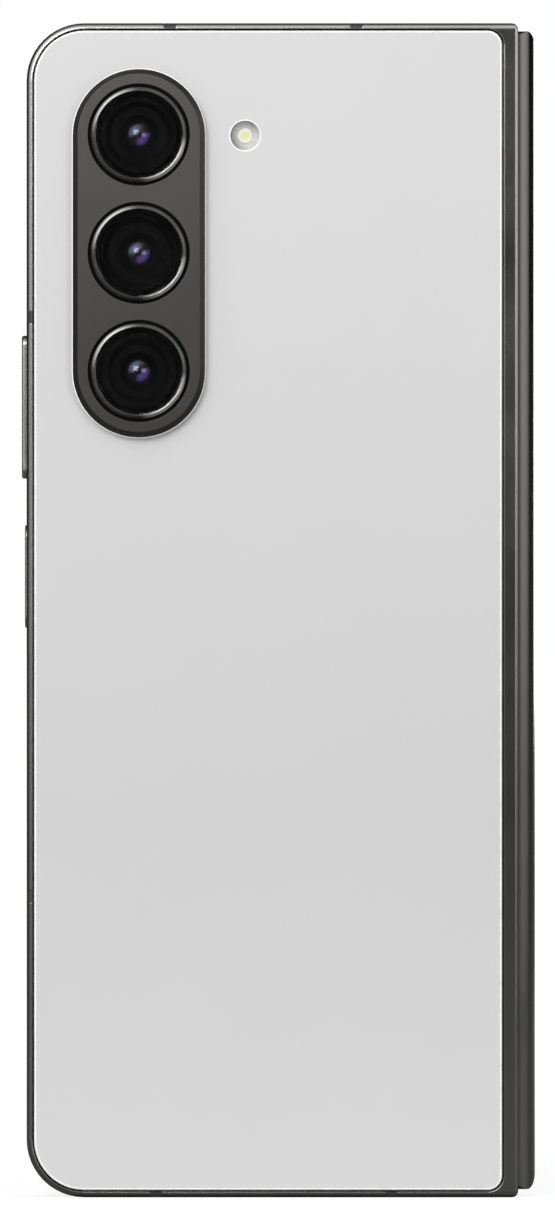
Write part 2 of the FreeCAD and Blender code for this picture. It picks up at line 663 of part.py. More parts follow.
def speaker_holes(z0, z1):
    """Row of speaker holes through an end wall."""
    first = SPEAKER_X - SPEAKER_PITCH * (SPEAKER_HOLES - 1) / 2
    places = [first + SPEAKER_PITCH * i for i in range(SPEAKER_HOLES)]
    return [rod_z(x, -MID_Y, SPEAKER_HOLE_RADIUS, z0, z1) for x in places]


def key_pin(room, clearance):
    """Pin that the volume key rocks on, or with some room and clearance its bore in the frame."""
    reach = VOLUME_HEIGHT / 2 + KEY_PIN_REACH + room
    x, z = FREE_EDGE + KEY_PIN_DEPTH, PHONE_LENGTH - VOLUME_TOP
    return rod_y(x, z, KEY_PIN_RADIUS + clearance, -MID_Y - reach, -MID_Y + reach)


def rear_frame_and_breaks():
    """Rear frame with its key slots, USB opening, speaker and microphone holes."""
    frame = base_frame(False)
    bay = RIM + PAST
    tools = [
        key_slot(VOLUME_TOP, VOLUME_LENGTH, VOLUME_HEIGHT),
        key_slot(SIDE_KEY_TOP, SIDE_KEY_LENGTH, SIDE_KEY_HEIGHT),
        slot_z(HALF_MID_X, -MID_Y, USB_OUTER_WIDTH + CLEAR, USB_OUTER_HEIGHT + CLEAR, -PAST, bay),
        rod_z(MIC_BOTTOM_X, -MID_Y, MIC_RADIUS, -PAST, bay),
        rod_z(MIC_TOP_X, -MID_Y, MIC_RADIUS, PHONE_LENGTH - bay, PHONE_LENGTH + PAST),
        rod_y(HALF_MID_X, PHONE_LENGTH - COVER_CAMERA_TOP, UDC_RADIUS + CLEAR, -FLOOR_BOTTOM - PAST / 2, 0),
        key_pin(SLIDE_CLEAR, CLEAR),
    ]
    tools += speaker_holes(-PAST, bay)
    return split_breaks(cut_all(frame, tools))


def cover_frame_and_breaks():
    """Cover frame, drawn on the rear side, with the SIM slot and the top speaker holes."""
    frame = base_frame(True)
    half_y = TRAY_BODY_HEIGHT / 2 + SLIDE_CLEAR
    half_z = TRAY_BODY_LENGTH / 2 + SLIDE_CLEAR
    tools = [
        stadium_x(
            FREE_EDGE - PAST, FREE_EDGE + TRAY_CAP_THICKNESS + CLEAR, -MID_Y, TRAY_Z,
            TRAY_CAP_LENGTH + 2 * CLEAR, TRAY_CAP_HEIGHT + 2 * CLEAR,
        ),
        box(
            FREE_EDGE, INNER_FREE + CLOSE_CLEAR, -MID_Y - half_y, -MID_Y + half_y,
            TRAY_Z - half_z, TRAY_Z + half_z,
        ),
        rod_z(MIC_TOP_X, -MID_Y, MIC_RADIUS, -PAST, RIM + PAST),
    ]
    tools += speaker_holes(PHONE_LENGTH - RIM - PAST, PHONE_LENGTH + PAST)
    return split_breaks(cut_all(frame, tools))


# ================================================================ glass, island and cameras
def bevelled_glass():
    """Outer glass of a half with its ground edge."""
    glass = glass_outline(0, -BACK_Y, -GLASS_Y)
    return glass.makeChamfer(GLASS_BEVEL, ring_edges(glass, -BACK_Y))


def island_outline(grow, y0, y1):
    """The camera island's long round-ended outline."""
    radius = ISLAND_HALF_WIDTH + grow
    return rounded(
        ISLAND_X - radius, ISLAND_X + radius, LENS_Z[-1] - radius, LENS_Z[0] + radius, y0, y1, radius - TINY
    )


def back_glass():
    """Back glass with its openings for the island and the flash."""
    tools = [
        island_outline(CLEAR, -BACK_Y - PAST, 0),
        rod_y(FLASH_CENTRE_X, FLASH_CENTRE_Z, FLASH_RADIUS, -BACK_Y - PAST, 0),
    ]
    return bevelled_glass().cut(tools)


def camera_island():
    """Raised island: a bevelled rim, a flange behind the glass and a stepped bore for each lens."""
    top = island_outline(0, -ISLAND_TOP, -GLASS_Y)
    top = top.makeChamfer(ISLAND_BEVEL, ring_edges(top, -ISLAND_TOP))
    flange = island_outline(ISLAND_FLANGE, -GLASS_Y, -GLASS_Y + ISLAND_FLANGE_THICKNESS)
    steps = (
        (RING_RADIUS + LENS_GROOVE_WIDTH, -ISLAND_TOP + LENS_GROOVE_DEPTH),
        (RING_RADIUS + CLEAR, -ISLAND_TOP + RING_SEAT_DEPTH),
        (BARREL_RADIUS + 2 * CLEAR, 0),
    )
    tools = [rod_y(ISLAND_X, z, radius, -ISLAND_TOP - PAST, y) for z in LENS_Z for radius, y in steps]
    return top.fuse(flange).cut(tools).removeSplitter()


def lens_ring(z):
    """Turned metal ring that frames one camera's cover lens."""
    y_top = -ISLAND_TOP - RING_PROUD
    inner = RING_RADIUS - RING_WALL
    ring = rod_y(ISLAND_X, z, RING_RADIUS, y_top, -ISLAND_TOP + RING_SEAT_DEPTH)
    ring = ring.makeChamfer(RING_CHAMFER, ring_edges(ring, y_top))
    ledge = y_top + COVER_LENS_RECESS + COVER_LENS_THICKNESS
    return ring.cut([
        rod_y(ISLAND_X, z, inner, y_top - PAST, ledge),
        rod_y(ISLAND_X, z, inner - RING_LEDGE, y_top - PAST, 0),
    ])


def cover_lens(z):
    """Flat clear disc over one camera."""
    y_top = -ISLAND_TOP - RING_PROUD + COVER_LENS_RECESS
    disc = rod_y(ISLAND_X, z, RING_RADIUS - RING_WALL - CLOSE_CLEAR, y_top, y_top + COVER_LENS_THICKNESS)
    return disc.makeChamfer(LENS_BEVEL, ring_edges(disc, y_top))


def camera_module(z, rim):
    """Camera: a square base and a round barrel with a stepped conical mouth."""
    base_top = -FLOOR_SEAT - CAMERA_BASE_HEIGHT
    half = CAMERA_BASE / 2
    base = rounded(
        ISLAND_X - half, ISLAND_X + half, z - half, z + half, base_top, -FLOOR_SEAT, CAMERA_BASE_CORNER
    )
    front = V(ISLAND_X, BARREL_TOP, z)
    barrel = rod_y(ISLAND_X, z, BARREL_RADIUS, BARREL_TOP, base_top)
    mouth = BARREL_RADIUS - rim
    outer_cone = Part.makeCone(mouth, mouth - MOUTH_DRAFT, BARREL_MOUTH_DEPTH / 2, front, Y_DIR)
    inner_cone = Part.makeCone(
        mouth - MOUTH_STEP, ELEMENT_RADIUS + ELEMENT_LEDGE, BARREL_MOUTH_DEPTH, front, Y_DIR
    )
    seat = rod_y(ISLAND_X, z, ELEMENT_RADIUS + CLOSE_CLEAR, BARREL_TOP, ELEMENT_SEAT)
    return base.fuse(barrel).cut([outer_cone, inner_cone, seat]).removeSplitter()


def lens_element(z):
    """Domed front element of a camera."""
    dome_radius = (ELEMENT_RADIUS ** 2 + ELEMENT_HEIGHT ** 2) / (2 * ELEMENT_HEIGHT)
    crown = ELEMENT_SEAT - 2 * ELEMENT_HEIGHT
    ball = Part.makeSphere(dome_radius, V(ISLAND_X, crown + dome_radius, z))
    return rod_y(ISLAND_X, z, ELEMENT_RADIUS, crown - CLEAR, ELEMENT_SEAT).common(ball)


def flash_lens():
    """Clear lens of the flash, flush with the back glass, with a step that seats behind it."""
    x, z = FLASH_CENTRE_X, FLASH_CENTRE_Z
    front = rod_y(x, z, FLASH_RADIUS - CLOSE_CLEAR, -BACK_Y, -GLASS_Y)
    front = front.makeChamfer(LENS_BEVEL, ring_edges(front, -BACK_Y))
    return front.fuse(rod_y(x, z, FLASH_RADIUS + FLASH_FLANGE, -GLASS_Y, -GLASS_Y + FLASH_FLANGE_THICKNESS))


def flash_led():
    """Flash light source on its little base."""
    x, z = FLASH_CENTRE_X, FLASH_CENTRE_Z
    top = -GLASS_Y + FLASH_FLANGE_THICKNESS + CLEAR
    half = LED_SIZE / 2
    die = box(x - half, x + half, top, top + LED_HEIGHT, z - half, z + half)
    base = box(x - LED_SIZE, x + LED_SIZE, top + LED_HEIGHT, -BOARD_BACK, z - LED_SIZE, z + LED_SIZE)
    return die.fuse(base)


# ================================================================ keys and their switches
def key(top, length, height, proud, play):
    """Side key: a cap with eased ends, a stem through the wall and a flange behind it."""
    z = PHONE_LENGTH - top
    x_out = FREE_EDGE - proud
    cap = stadium_x(x_out, INNER_FREE + play, -MID_Y, z, length, height)
    outer_edges = [e for e in cap.Edges if abs(e.BoundBox.XMin - x_out) + abs(e.BoundBox.XMax - x_out) < SAME]
    cap = cap.makeFillet(min(proud, KEY_END_SLOPE), outer_edges)
    flange = box(
        INNER_FREE + play, INNER_FREE + play + KEY_FLANGE_THICKNESS,
        -MID_Y - height / 2 - KEY_FLANGE / 2, -MID_Y + height / 2 + KEY_FLANGE / 2,
        z - length / 2 - KEY_FLANGE, z + length / 2 + KEY_FLANGE,
    )
    return cap.fuse(flange).removeSplitter()


def key_switch(z, height, play):
    """Dome switch behind a key."""
    x = INNER_FREE + play + KEY_FLANGE_THICKNESS + KEY_TRAVEL + CLOSE_CLEAR
    half = SWITCH_LENGTH / 2
    body = box(x + DOME_HEIGHT, x + SWITCH_DEPTH, -MID_Y - height / 2, -FLOOR_SEAT, z - half, z + half)
    dome = rod_x(-MID_Y, z, DOME_RADIUS, x, x + DOME_HEIGHT)
    return body.fuse(dome)


# ================================================================ hinge
def round_spine_ends(shape):
    """Round the spine's ends as seen from the back and from the side."""
    tools = []
    reach = SPINE_REACH
    side = HINGE_OFFSET + SPINE_RADIUS
    for z_end, inward in ((SPINE_LOW, 1), (SPINE_HIGH, -1)):
        z_in = z_end + inward * SPINE_CORNER_Z
        low, high = sorted((z_end - inward, z_in))
        block = box(reach - SPINE_CORNER_X, reach + PAST, -side - PAST, side + PAST, low, high)
        oval = rod_y(0, 0, 1, -side - PAST, side + PAST)
        stretch = FreeCAD.Matrix()
        stretch.scale(SPINE_CORNER_X, 1, SPINE_CORNER_Z)
        oval = oval.transformGeometry(stretch)
        oval.translate(V(reach - SPINE_CORNER_X, 0, z_in))
        tools.append(block.cut(oval))
        z_turn = z_end + inward * SPINE_CORNER_Y
        low, high = sorted((z_end - inward, z_turn))
        for sign in (-1, 1):
            y_in = sign * (side - SPINE_CORNER_Y)
            y0, y1 = sorted((y_in, sign * (side + PAST)))
            block = box(FRONT_X - PAST, reach + PAST, y0, y1, low, high)
            corner = rod_x(y_in, z_turn, SPINE_CORNER_Y, FRONT_X - OVERSHOOT, reach + OVERSHOOT)
            tools.append(block.cut(corner))
    return shape.cut(tools)


def neck_notches():
    """Room in the spine for the arm necks when the phone is open, on both sides."""
    tools = []
    for bracket_z in BRACKET_Z:
        for is_cover in (False, True):
            low, high = arm_range(bracket_z, is_cover)
            notch = sector(
                TONGUE_OUTER - TONGUE_CLEAR, CAVITY_RADIUS, NOTCH_START, NOTCH_END,
                low - SLIDE_CLEAR, high + SLIDE_CLEAR,
            )
            tools.append(mirrored(notch) if is_cover else notch)
    return tools


def spine_cover():
    """Metal spine: a half-round channel that closes the hinge side."""
    outer = spine_section(SPINE_RADIUS, AXIS_X, SPINE_LOW, SPINE_HIGH)
    inner = spine_section(SPINE_BORE, FRONT_X - PAST, SPINE_LOW - PAST, SPINE_HIGH + PAST)
    return round_spine_ends(outer.cut(inner)).cut(neck_notches()).removeSplitter()


def spine_end_cap(is_top):
    """Plug that closes one end of the spine."""
    z0 = SPINE_HIGH - SPINE_CAP_THICKNESS if is_top else SPINE_LOW
    cap = spine_section(SPINE_BORE - CLOSE_CLEAR, FRONT_X, z0, z0 + SPINE_CAP_THICKNESS)
    return round_spine_ends(cap)


def hinge_bracket(bracket_z):
    """Bracket in the spine with the two arc tracks that the arms' tongues ride in."""
    z0, z1 = bracket_z - BRACKET_HALF, bracket_z + BRACKET_HALF
    block = spine_section(SPINE_BORE - CLOSE_CLEAR, FRONT_X, z0, z1)
    tools = []
    for is_cover in (False, True):
        low, high = arm_range(bracket_z, is_cover)
        track = sector(
            TONGUE_INNER - TONGUE_CLEAR, TONGUE_OUTER + TONGUE_CLEAR, TRACK_START, TRACK_END,
            low - TONGUE_CLEAR, high + TONGUE_CLEAR,
        )
        tools.append(mirrored(track) if is_cover else track)
    return block.cut(tools).cut(neck_notches()).removeSplitter()


def hinge_arm(bracket_z, is_cover):
    """Arm of a half: a plate screwed to the frame, a neck and an arc tongue about the hinge axis."""
    low, high = arm_range(bracket_z, is_cover)
    tongue = sector(TONGUE_INNER, TONGUE_OUTER, TONGUE_START, TONGUE_END, low, high)
    neck_end = AXIS_X - (TONGUE_INNER + TONGUE_OUTER) / 2
    neck = box(-ARM_REACH, neck_end, -ARM_TOP - ARM_THICKNESS, -ARM_TOP, low, high)
    arm = neck.fuse(tongue)
    holes = [
        rod_y(x, z, SCREW_RADIUS + CLOSE_CLEAR, -ARM_TOP - ARM_THICKNESS - PAST, 0)
        for x, z in arm_screw_places(is_cover)
        if low < z < high
    ]
    return arm.cut(holes).removeSplitter()


def centre_plate():
    """Strip on the spine that backs the middle of the inner display."""
    x0 = AXIS_X - (HINGE_OFFSET - DISPLAY_Y) + DISPLAY_THICKNESS + CLEAR
    return box(x0, FRONT_X, -CENTRE_PLATE_HALF_WIDTH, CENTRE_PLATE_HALF_WIDTH,
               BRACKET_Z[0] - BRACKET_HALF, BRACKET_Z[-1] + BRACKET_HALF)


def wing_plate():
    """Wing plate under the bending display, drooping from the half's floor towards the hinge."""
    z0, z1 = FOLD_MARGIN + CLEAR, PHONE_LENGTH - FOLD_MARGIN - CLEAR
    half = PLATE_THICKNESS / 2
    flat = box(0, WING_LENGTH - half, -half, half, z0, z1)
    ends = [rod_z(0, 0, half, z0, z1), rod_z(WING_LENGTH - half, 0, half, z0, z1)]
    plate = flat.fuse(ends).removeSplitter()
    plate.rotate(V(0, 0, 0), Z_DIR, -WING_TILT)
    plate.translate(V(WING_PIVOT_X, WING_PIVOT_Y, 0))
    return plate


# ================================================================ inner display
def smooth_step(value):
    """Cubic ease between 0 and 1."""
    t = max(0.0, min(1.0, value))
    return t * t * (3 - 2 * t)


def folded_point(open_x, depth, hint):
    """Where a point of the open display lies when the phone is shut, and how far it has turned."""
    dx, dy = open_x - AXIS_X, depth
    radius, start = math.hypot(dx, dy), math.atan2(dy, dx)
    span = (BLEND_END[0] - BLEND_START[0], BLEND_END[1] - BLEND_START[1])
    length = span[0] ** 2 + span[1] ** 2

    def excess(share):
        angle = start + share * math.pi / 2
        px, py = radius * math.cos(angle), radius * math.sin(angle)
        along = (px - BLEND_START[0]) * span[0] + (py - BLEND_START[1]) * span[1]
        return share - smooth_step(along / length)

    steps = SEARCH_STEPS
    crossings = [k / steps for k in range(1, steps + 1) if excess((k - 1) / steps) * excess(k / steps) <= 0]
    share = min(crossings, key=lambda k: abs(k - hint)) if crossings else hint
    low, high = share - 1 / steps, share
    for _ in range(BISECTIONS):
        middle = (low + high) / 2
        if excess(low) * excess(middle) <= 0:
            high = middle
        else:
            low = middle
    angle = start + high * math.pi / 2
    return V(AXIS_X + radius * math.cos(angle), AXIS_Y + radius * math.sin(angle), FOLD_MARGIN), high


def fold_strip():
    """The bending half-strip of the inner display, drooping into the hinge like a drop of water."""
    surface = []
    for depth in (HINGE_OFFSET - DISPLAY_Y, HINGE_OFFSET - DISPLAY_Y - DISPLAY_THICKNESS):
        share = 0.0
        points = []
        for i in range(FOLD_STEPS + 1):
            open_x = -FOLD_FLAT_LIMIT * (1 - i / FOLD_STEPS)
            point, share = folded_point(open_x, depth, share)
            points.append(point)
        surface.append(points)
    top, under = surface
    top[-1].y = under[-1].y = -FOLD_TIP_GAP
    curves = []
    for points in (top, under):
        curve = Part.BSplineCurve()
        curve.interpolate(points)
        curves.append(curve.toShape())
    edges = [curves[0], Part.makeLine(top[-1], under[-1]), curves[1], Part.makeLine(under[0], top[0])]
    face = Part.Face(Part.Wire(Part.__sortEdges__(edges)))
    return face.extrude(V(0, 0, PHONE_LENGTH - 2 * FOLD_MARGIN))


def flat_display():
    """The flat part of the inner display on one half."""
    return rounded(
        FREE_EDGE + DISPLAY_MARGIN, -FOLD_FLAT_LIMIT - CLEAR, DISPLAY_MARGIN, PHONE_LENGTH - DISPLAY_MARGIN,
        -FLOOR_TOP + CLOSE_CLEAR, -DISPLAY_Y - CLOSE_CLEAR, DISPLAY_CORNER, 0,
    )


def lip():
    """Raised bezel round three sides of a half's inner display."""
    outer = rounded(
        FREE_EDGE + LIP_OUTER, LIP_STOP, LIP_OUTER, PHONE_LENGTH - LIP_OUTER,
        -DISPLAY_Y, -LIP_GAP / 2, CORNER_RADIUS - LIP_OUTER, 0,
    )
    inner = rounded(
        FREE_EDGE + LIP_INNER, OVERSHOOT, LIP_INNER, PHONE_LENGTH - LIP_INNER,
        -DISPLAY_Y - PAST, PAST, CORNER_RADIUS - LIP_INNER, 0,
    )
    return outer.cut(inner)


# ================================================================ inside the halves
def battery(z0, z1):
    """Pouch cell with soft edges."""
    end = RIB / 2 + BATTERY_END_GAP
    back = -FLOOR_SEAT - BATTERY_THICKNESS
    cell = rounded(
        FREE_EDGE + BATTERY_SIDE, -BAY_HINGE_CLEAR, z0 + end, z1 - end, back, -FLOOR_SEAT, BATTERY_CORNER
    )
    return cell.makeFillet(BATTERY_EDGE, ring_edges(cell, back))


def charging_coil():
    """Flat wireless charging coil on its ferrite sheet."""
    x = (FREE_EDGE + BATTERY_SIDE - BAY_HINGE_CLEAR) / 2
    z = (BATTERY_LOW + BATTERY_HIGH) / 2
    top = -FLOOR_SEAT - BATTERY_THICKNESS - COIL_THICKNESS
    ring = rod_y(x, z, COIL_RADIUS, top, top + COIL_THICKNESS)
    return ring.cut(rod_y(x, z, COIL_HOLE, top - PAST, top + PAST))


def main_board():
    """Main circuit board beside the cameras, on its posts."""
    return board(ISLAND_X + CAMERA_BASE / 2 + BOARD_CLEAR, post_places(False))


def board(x0, screws):
    """Circuit board in the top bay, from x0 to the hinge side, with screw holes."""
    plate = rounded(
        x0,
        -BAY_HINGE_CLEAR,
        BATTERY_HIGH + RIB / 2 + BOARD_CLEAR,
        PHONE_LENGTH - RIM - MIC_DEPTH - BOARD_CLEAR,
        -BOARD_BACK,
        -BOARD_FRONT,
        BOARD_CORNER,
    )
    return plate.cut([rod_y(x, z, SCREW_RADIUS + CLOSE_CLEAR, -BACK_Y, 0) for x, z in screws])


def board_screws(is_cover):
    """Screws that hold a board on its posts."""
    return [screw(x, z, -BOARD_BACK) for x, z in post_places(is_cover)]


def charging_board():
    """Small board behind the USB socket."""
    return rounded(
        HALF_MID_X - CHARGING_BOARD_HALF, HALF_MID_X + CHARGING_BOARD_HALF,
        USB_DEPTH + 2 * CLEAR, BATTERY_LOW - RIB / 2 - BOARD_CLEAR,
        -FLOOR_SEAT - BOARD_THICKNESS, -FLOOR_SEAT, BOARD_CORNER,
    )


def board_flex():
    """Flat cable over the battery, from the charging board to the main board."""
    x1 = -BAY_HINGE_CLEAR - FLEX_INSET
    x0 = x1 - FLEX_WIDTH
    over = -FLOOR_SEAT - BATTERY_THICKNESS - CLEAR
    low_z = BATTERY_LOW - RIB / 2 - BOARD_CLEAR
    high_z = BATTERY_HIGH + RIB / 2 + BOARD_CLEAR
    main_y = -BOARD_BACK
    low_y = -FLOOR_SEAT
    t = FLEX_THICKNESS
    route = [
        (low_y, low_z - FLEX_TAIL), (low_y, low_z + t), (over, low_z + t), (over, high_z), (main_y, high_z),
        (main_y, high_z + FLEX_LAND), (main_y - t, high_z + FLEX_LAND), (main_y - t, high_z + t),
        (over - t, high_z + t), (over - t, low_z), (low_y - t, low_z), (low_y - t, low_z - FLEX_TAIL),
    ]
    cable = prism([V(x0, y, z) for y, z in route], V(FLEX_WIDTH, 0, 0))
    tail_x = HALF_MID_X + CHARGING_BOARD_HALF
    tail = box(tail_x, x1, low_y - t, low_y, low_z - FLEX_TAIL, low_z - FLEX_TAIL / 2)
    return cable.fuse(tail).removeSplitter()


def shield_cans():
    """Shielding cans on the main board."""
    x0 = ISLAND_X + ISLAND_HALF_WIDTH + ISLAND_FLANGE + SHIELD_GAP
    x1 = -BAY_HINGE_CLEAR - POST_INSET - SCREW_HEAD_RADIUS - BOARD_CLEAR
    first = BATTERY_HIGH + SHIELD_INSET
    back = -BOARD_BACK - SHIELD_HEIGHT
    cans = []
    for z0, z1 in ((first, first + SHIELD_LENGTH), (first + SHIELD_PITCH, PHONE_LENGTH - SHIELD_TOP)):
        can = rounded(x0, x1, z0, z1, back, -BOARD_BACK, SHIELD_CORNER)
        cans.append(can.makeFillet(SHIELD_EDGE, ring_edges(can, back)))
    return cans


def loudspeaker():
    """Sealed loudspeaker box with a duct to the bottom wall and a round diaphragm recess."""
    x = SPEAKER_X
    half = SPEAKER_WIDTH / 2
    y0, y1 = -GLASS_Y + SPEAKER_BOX_DROP, -FLOOR_SEAT
    low = RIM + SPEAKER_BOX_START
    body = rounded(x - half, x + half, low, low + SPEAKER_BOX_HEIGHT, y0, y1, SPEAKER_BOX_CORNER)
    duct_half = half - DUCT_INSET
    duct = box(x - duct_half, x + duct_half, y0 + DUCT_DROP, y1 - DUCT_LIFT, RIM + CLEAR, low + DUCT_OVERLAP)
    recess = rod_y(x, low + SPEAKER_BOX_HEIGHT / 2, half - DIAPHRAGM_INSET, y0 - PAST, y0 + DIAPHRAGM_DEPTH)
    return body.fuse(duct).cut(recess).removeSplitter()


def usb_shell():
    """Stamped shell of the USB-C socket, open at the bottom edge."""
    outer = slot_z(HALF_MID_X, -MID_Y, USB_OUTER_WIDTH, USB_OUTER_HEIGHT, USB_SET_BACK, USB_DEPTH)
    inner = slot_z(HALF_MID_X, -MID_Y, USB_WIDTH, USB_HEIGHT, -PAST, USB_DEPTH - USB_BACK)
    foot = box(
        HALF_MID_X - USB_WIDTH / 2, HALF_MID_X + USB_WIDTH / 2,
        -MID_Y + USB_HEIGHT / 2 + USB_WALL / 2, -FLOOR_SEAT, RIM + USB_FOOT_START, USB_DEPTH,
    )
    return outer.fuse(foot).cut(inner).removeSplitter()


def usb_tongue():
    """Contact tongue in the middle of the USB-C socket."""
    half_x, half_y = USB_TONGUE_WIDTH / 2, USB_TONGUE_THICKNESS / 2
    blade = box(
        HALF_MID_X - half_x, HALF_MID_X + half_x, -MID_Y - half_y, -MID_Y + half_y, USB_TONGUE_START,
        USB_DEPTH - USB_BACK,
    )
    root = slot_z(
        HALF_MID_X, -MID_Y, USB_WIDTH - 2 * CLEAR, USB_HEIGHT - 2 * CLEAR,
        USB_DEPTH - USB_BACK - USB_TONGUE_ROOT, USB_DEPTH - USB_BACK - CLOSE_CLEAR,
    )
    return blade.fuse(root).removeSplitter()


def vibration_motor():
    """Coin vibration motor."""
    x, z = HALF_MID_X + MOTOR_OFFSET, RIM + MOTOR_RADIUS + MOTOR_START
    can = rod_y(x, z, MOTOR_RADIUS, -FLOOR_SEAT - MOTOR_THICKNESS, -FLOOR_SEAT)
    return can.makeFillet(MOTOR_EDGE, ring_edges(can, -FLOOR_SEAT - MOTOR_THICKNESS))


def microphone(x, z0, z1):
    """Microphone can behind its hole."""
    return box(x - MIC_WIDTH / 2, x + MIC_WIDTH / 2, -MID_Y - MIC_HEIGHT / 2, -FLOOR_SEAT, z0, z1)


def magnets():
    """Bar magnets that hold the free edges together."""
    x = INNER_FREE + KEY_TRAVEL
    return [
        box(x, x + MAGNET_WIDTH, -FLOOR_SEAT - MAGNET_THICKNESS, -FLOOR_SEAT, z, z + MAGNET_LENGTH)
        for z in (BATTERY_LOW - MAGNET_LENGTH - MAGNET_BELOW, BATTERY_LOW + MAGNET_ABOVE)
    ]


def under_display_camera():
    """Small camera that looks through the inner display."""
    z = PHONE_LENGTH - COVER_CAMERA_TOP
    half = UDC_BASE / 2
    shoulder = -FLOOR_BOTTOM - UDC_SHOULDER
    neck = rod_y(HALF_MID_X, z, UDC_RADIUS, shoulder - UDC_OVERLAP, -FLOOR_TOP - CLOSE_CLEAR)
    base = box(HALF_MID_X - half, HALF_MID_X + half, -BOARD_FRONT + CLEAR, shoulder, z - half, z + half)
    return neck.fuse(base)


# ================================================================ cover-half pieces (drawn on the rear side)
def cover_glass():
    """Cover screen glass with the earpiece slit."""
    slit = stadium_slit(-BACK_Y - PAST, 0, EARPIECE_WIDTH, EARPIECE_HEIGHT)
    return bevelled_glass().cut(slit)


def stadium_slit(y0, y1, width, height):
    """Round-ended slit across the top of the cover glass."""
    z = PHONE_LENGTH - EARPIECE_TOP
    half = height / 2
    return rounded(HALF_MID_X - width / 2, HALF_MID_X + width / 2, z - half, z + half, y0, y1, half - TINY)


def earpiece_mesh():
    """Mesh that fills the earpiece slit."""
    width, height = EARPIECE_WIDTH - 2 * CLEAR, EARPIECE_HEIGHT - 2 * CLEAR
    return stadium_slit(-BACK_Y + SCREEN_GAP, -GLASS_Y, width, height)


def cover_panel():
    """Cover screen panel behind the glass, with the camera hole."""
    panel = rounded(
        INNER_FREE + CLEAR, BAY_EDGE - CLEAR, RIM + PANEL_END_GAP, PHONE_LENGTH - RIM - PANEL_END_GAP,
        -GLASS_Y + CLOSE_CLEAR, -GLASS_Y + PANEL_THICKNESS, CORNER_RADIUS - RIM - CLEAR, BAY_HINGE_CORNER,
    )
    hole = rod_y(HALF_MID_X, PHONE_LENGTH - COVER_CAMERA_TOP, COVER_CAMERA_RADIUS, -BACK_Y, 0)
    return panel.cut(hole)


def cover_camera():
    """Cover camera behind the hole in the panel."""
    z = PHONE_LENGTH - COVER_CAMERA_TOP
    top = -GLASS_Y + SCREEN_GAP
    half = COVER_CAMERA_BASE / 2
    barrel = rod_y(HALF_MID_X, z, COVER_CAMERA_RADIUS - SCREEN_GAP, top, -FLOOR_SEAT)
    back = -FLOOR_SEAT - COVER_CAMERA_BASE_HEIGHT
    base = box(HALF_MID_X - half, HALF_MID_X + half, back, -FLOOR_SEAT, z - half, z + half)
    mouth = Part.makeCone(
        COVER_CAMERA_RADIUS - COVER_CAMERA_WALL, COVER_CAMERA_MOUTH, COVER_CAMERA_MOUTH_DEPTH,
        V(HALF_MID_X, top, z), Y_DIR,
    )
    return barrel.fuse(base).cut(mouth).removeSplitter()


def earpiece_speaker():
    """Earpiece speaker under the top wall, with a duct to the slit."""
    y0, y1 = -GLASS_Y + PANEL_THICKNESS + SCREEN_GAP, -FLOOR_SEAT
    x1 = SPEAKER_X + EARPIECE_BOX_HIGH
    wall = PHONE_LENGTH - RIM
    top = wall - 2 * CLEAR
    body = rounded(
        SPEAKER_X - EARPIECE_BOX_LOW, x1, wall - EARPIECE_BOX_HEIGHT, top, y0, y1, EARPIECE_BOX_CORNER
    )
    duct = box(
        x1 - EARPIECE_BOX_CORNER, HALF_MID_X - EARPIECE_DUCT_END, y0, y0 + EARPIECE_DUCT_DEPTH,
        wall - EARPIECE_DUCT_HEIGHT, top,
    )
    return body.fuse(duct).removeSplitter()


def cover_board():
    """Sub-board of the cover half."""
    return board(HALF_MID_X + COVER_BOARD_START, post_places(True))


def sim_tray():
    """SIM tray: a cap flush with the side wall and a frame that carries the card."""
    cap_in = FREE_EDGE + TRAY_CAP_THICKNESS
    cap = stadium_x(FREE_EDGE, cap_in, -MID_Y, TRAY_Z, TRAY_CAP_LENGTH, TRAY_CAP_HEIGHT)
    half_h, half_l = TRAY_BODY_HEIGHT / 2, TRAY_BODY_LENGTH / 2
    body = box(
        cap_in - CLOSE_CLEAR, FREE_EDGE + TRAY_DEPTH, -MID_Y - half_h, -MID_Y + half_h,
        TRAY_Z - half_l, TRAY_Z + half_l,
    )
    card_half = SIM_LENGTH / 2 + CLEAR
    pocket = box(
        POCKET_X, POCKET_X + SIM_WIDTH + 2 * CLEAR, -MID_Y - half_h - PAST, -MID_Y + half_h - TRAY_WALL,
        TRAY_Z - card_half, TRAY_Z + card_half,
    )
    hole_z = TRAY_Z - TRAY_CAP_LENGTH / 2 + TRAY_CAP_HEIGHT / 2 + PIN_HOLE_INSET
    hole = rod_x(-MID_Y, hole_z, PIN_HOLE_RADIUS, FREE_EDGE - PAST, FREE_EDGE + PIN_HOLE_DEPTH)
    return cap.fuse(body).cut([pocket, hole]).removeSplitter()


def sim_card():
    """SIM card in its tray."""
    x0 = POCKET_X + CLEAR
    y1 = -MID_Y + TRAY_BODY_HEIGHT / 2 - TRAY_WALL - TRAY_PLAY
    half = SIM_LENGTH / 2
    return rounded(x0, x0 + SIM_WIDTH, TRAY_Z - half, TRAY_Z + half, y1 - SIM_THICKNESS, y1, SIM_CORNER)


def sim_reader():
    """Folded metal reader that the tray slides into."""
    gap_y = TRAY_BODY_HEIGHT / 2 + SLIDE_CLEAR
    gap_z = TRAY_BODY_LENGTH / 2 + SLIDE_CLEAR
    wall_z = gap_z + READER_WALL
    x0, x1 = INNER_FREE + CLEAR, FREE_EDGE + TRAY_DEPTH + READER_PAST
    outer = box(x0, x1, -MID_Y - gap_y - READER_WALL, -FLOOR_SEAT, TRAY_Z - wall_z, TRAY_Z + wall_z)
    inner = box(x0 - PAST, x1 - READER_WALL, -MID_Y - gap_y, -MID_Y + gap_y, TRAY_Z - gap_z, TRAY_Z + gap_z)
    return outer.cut(inner)


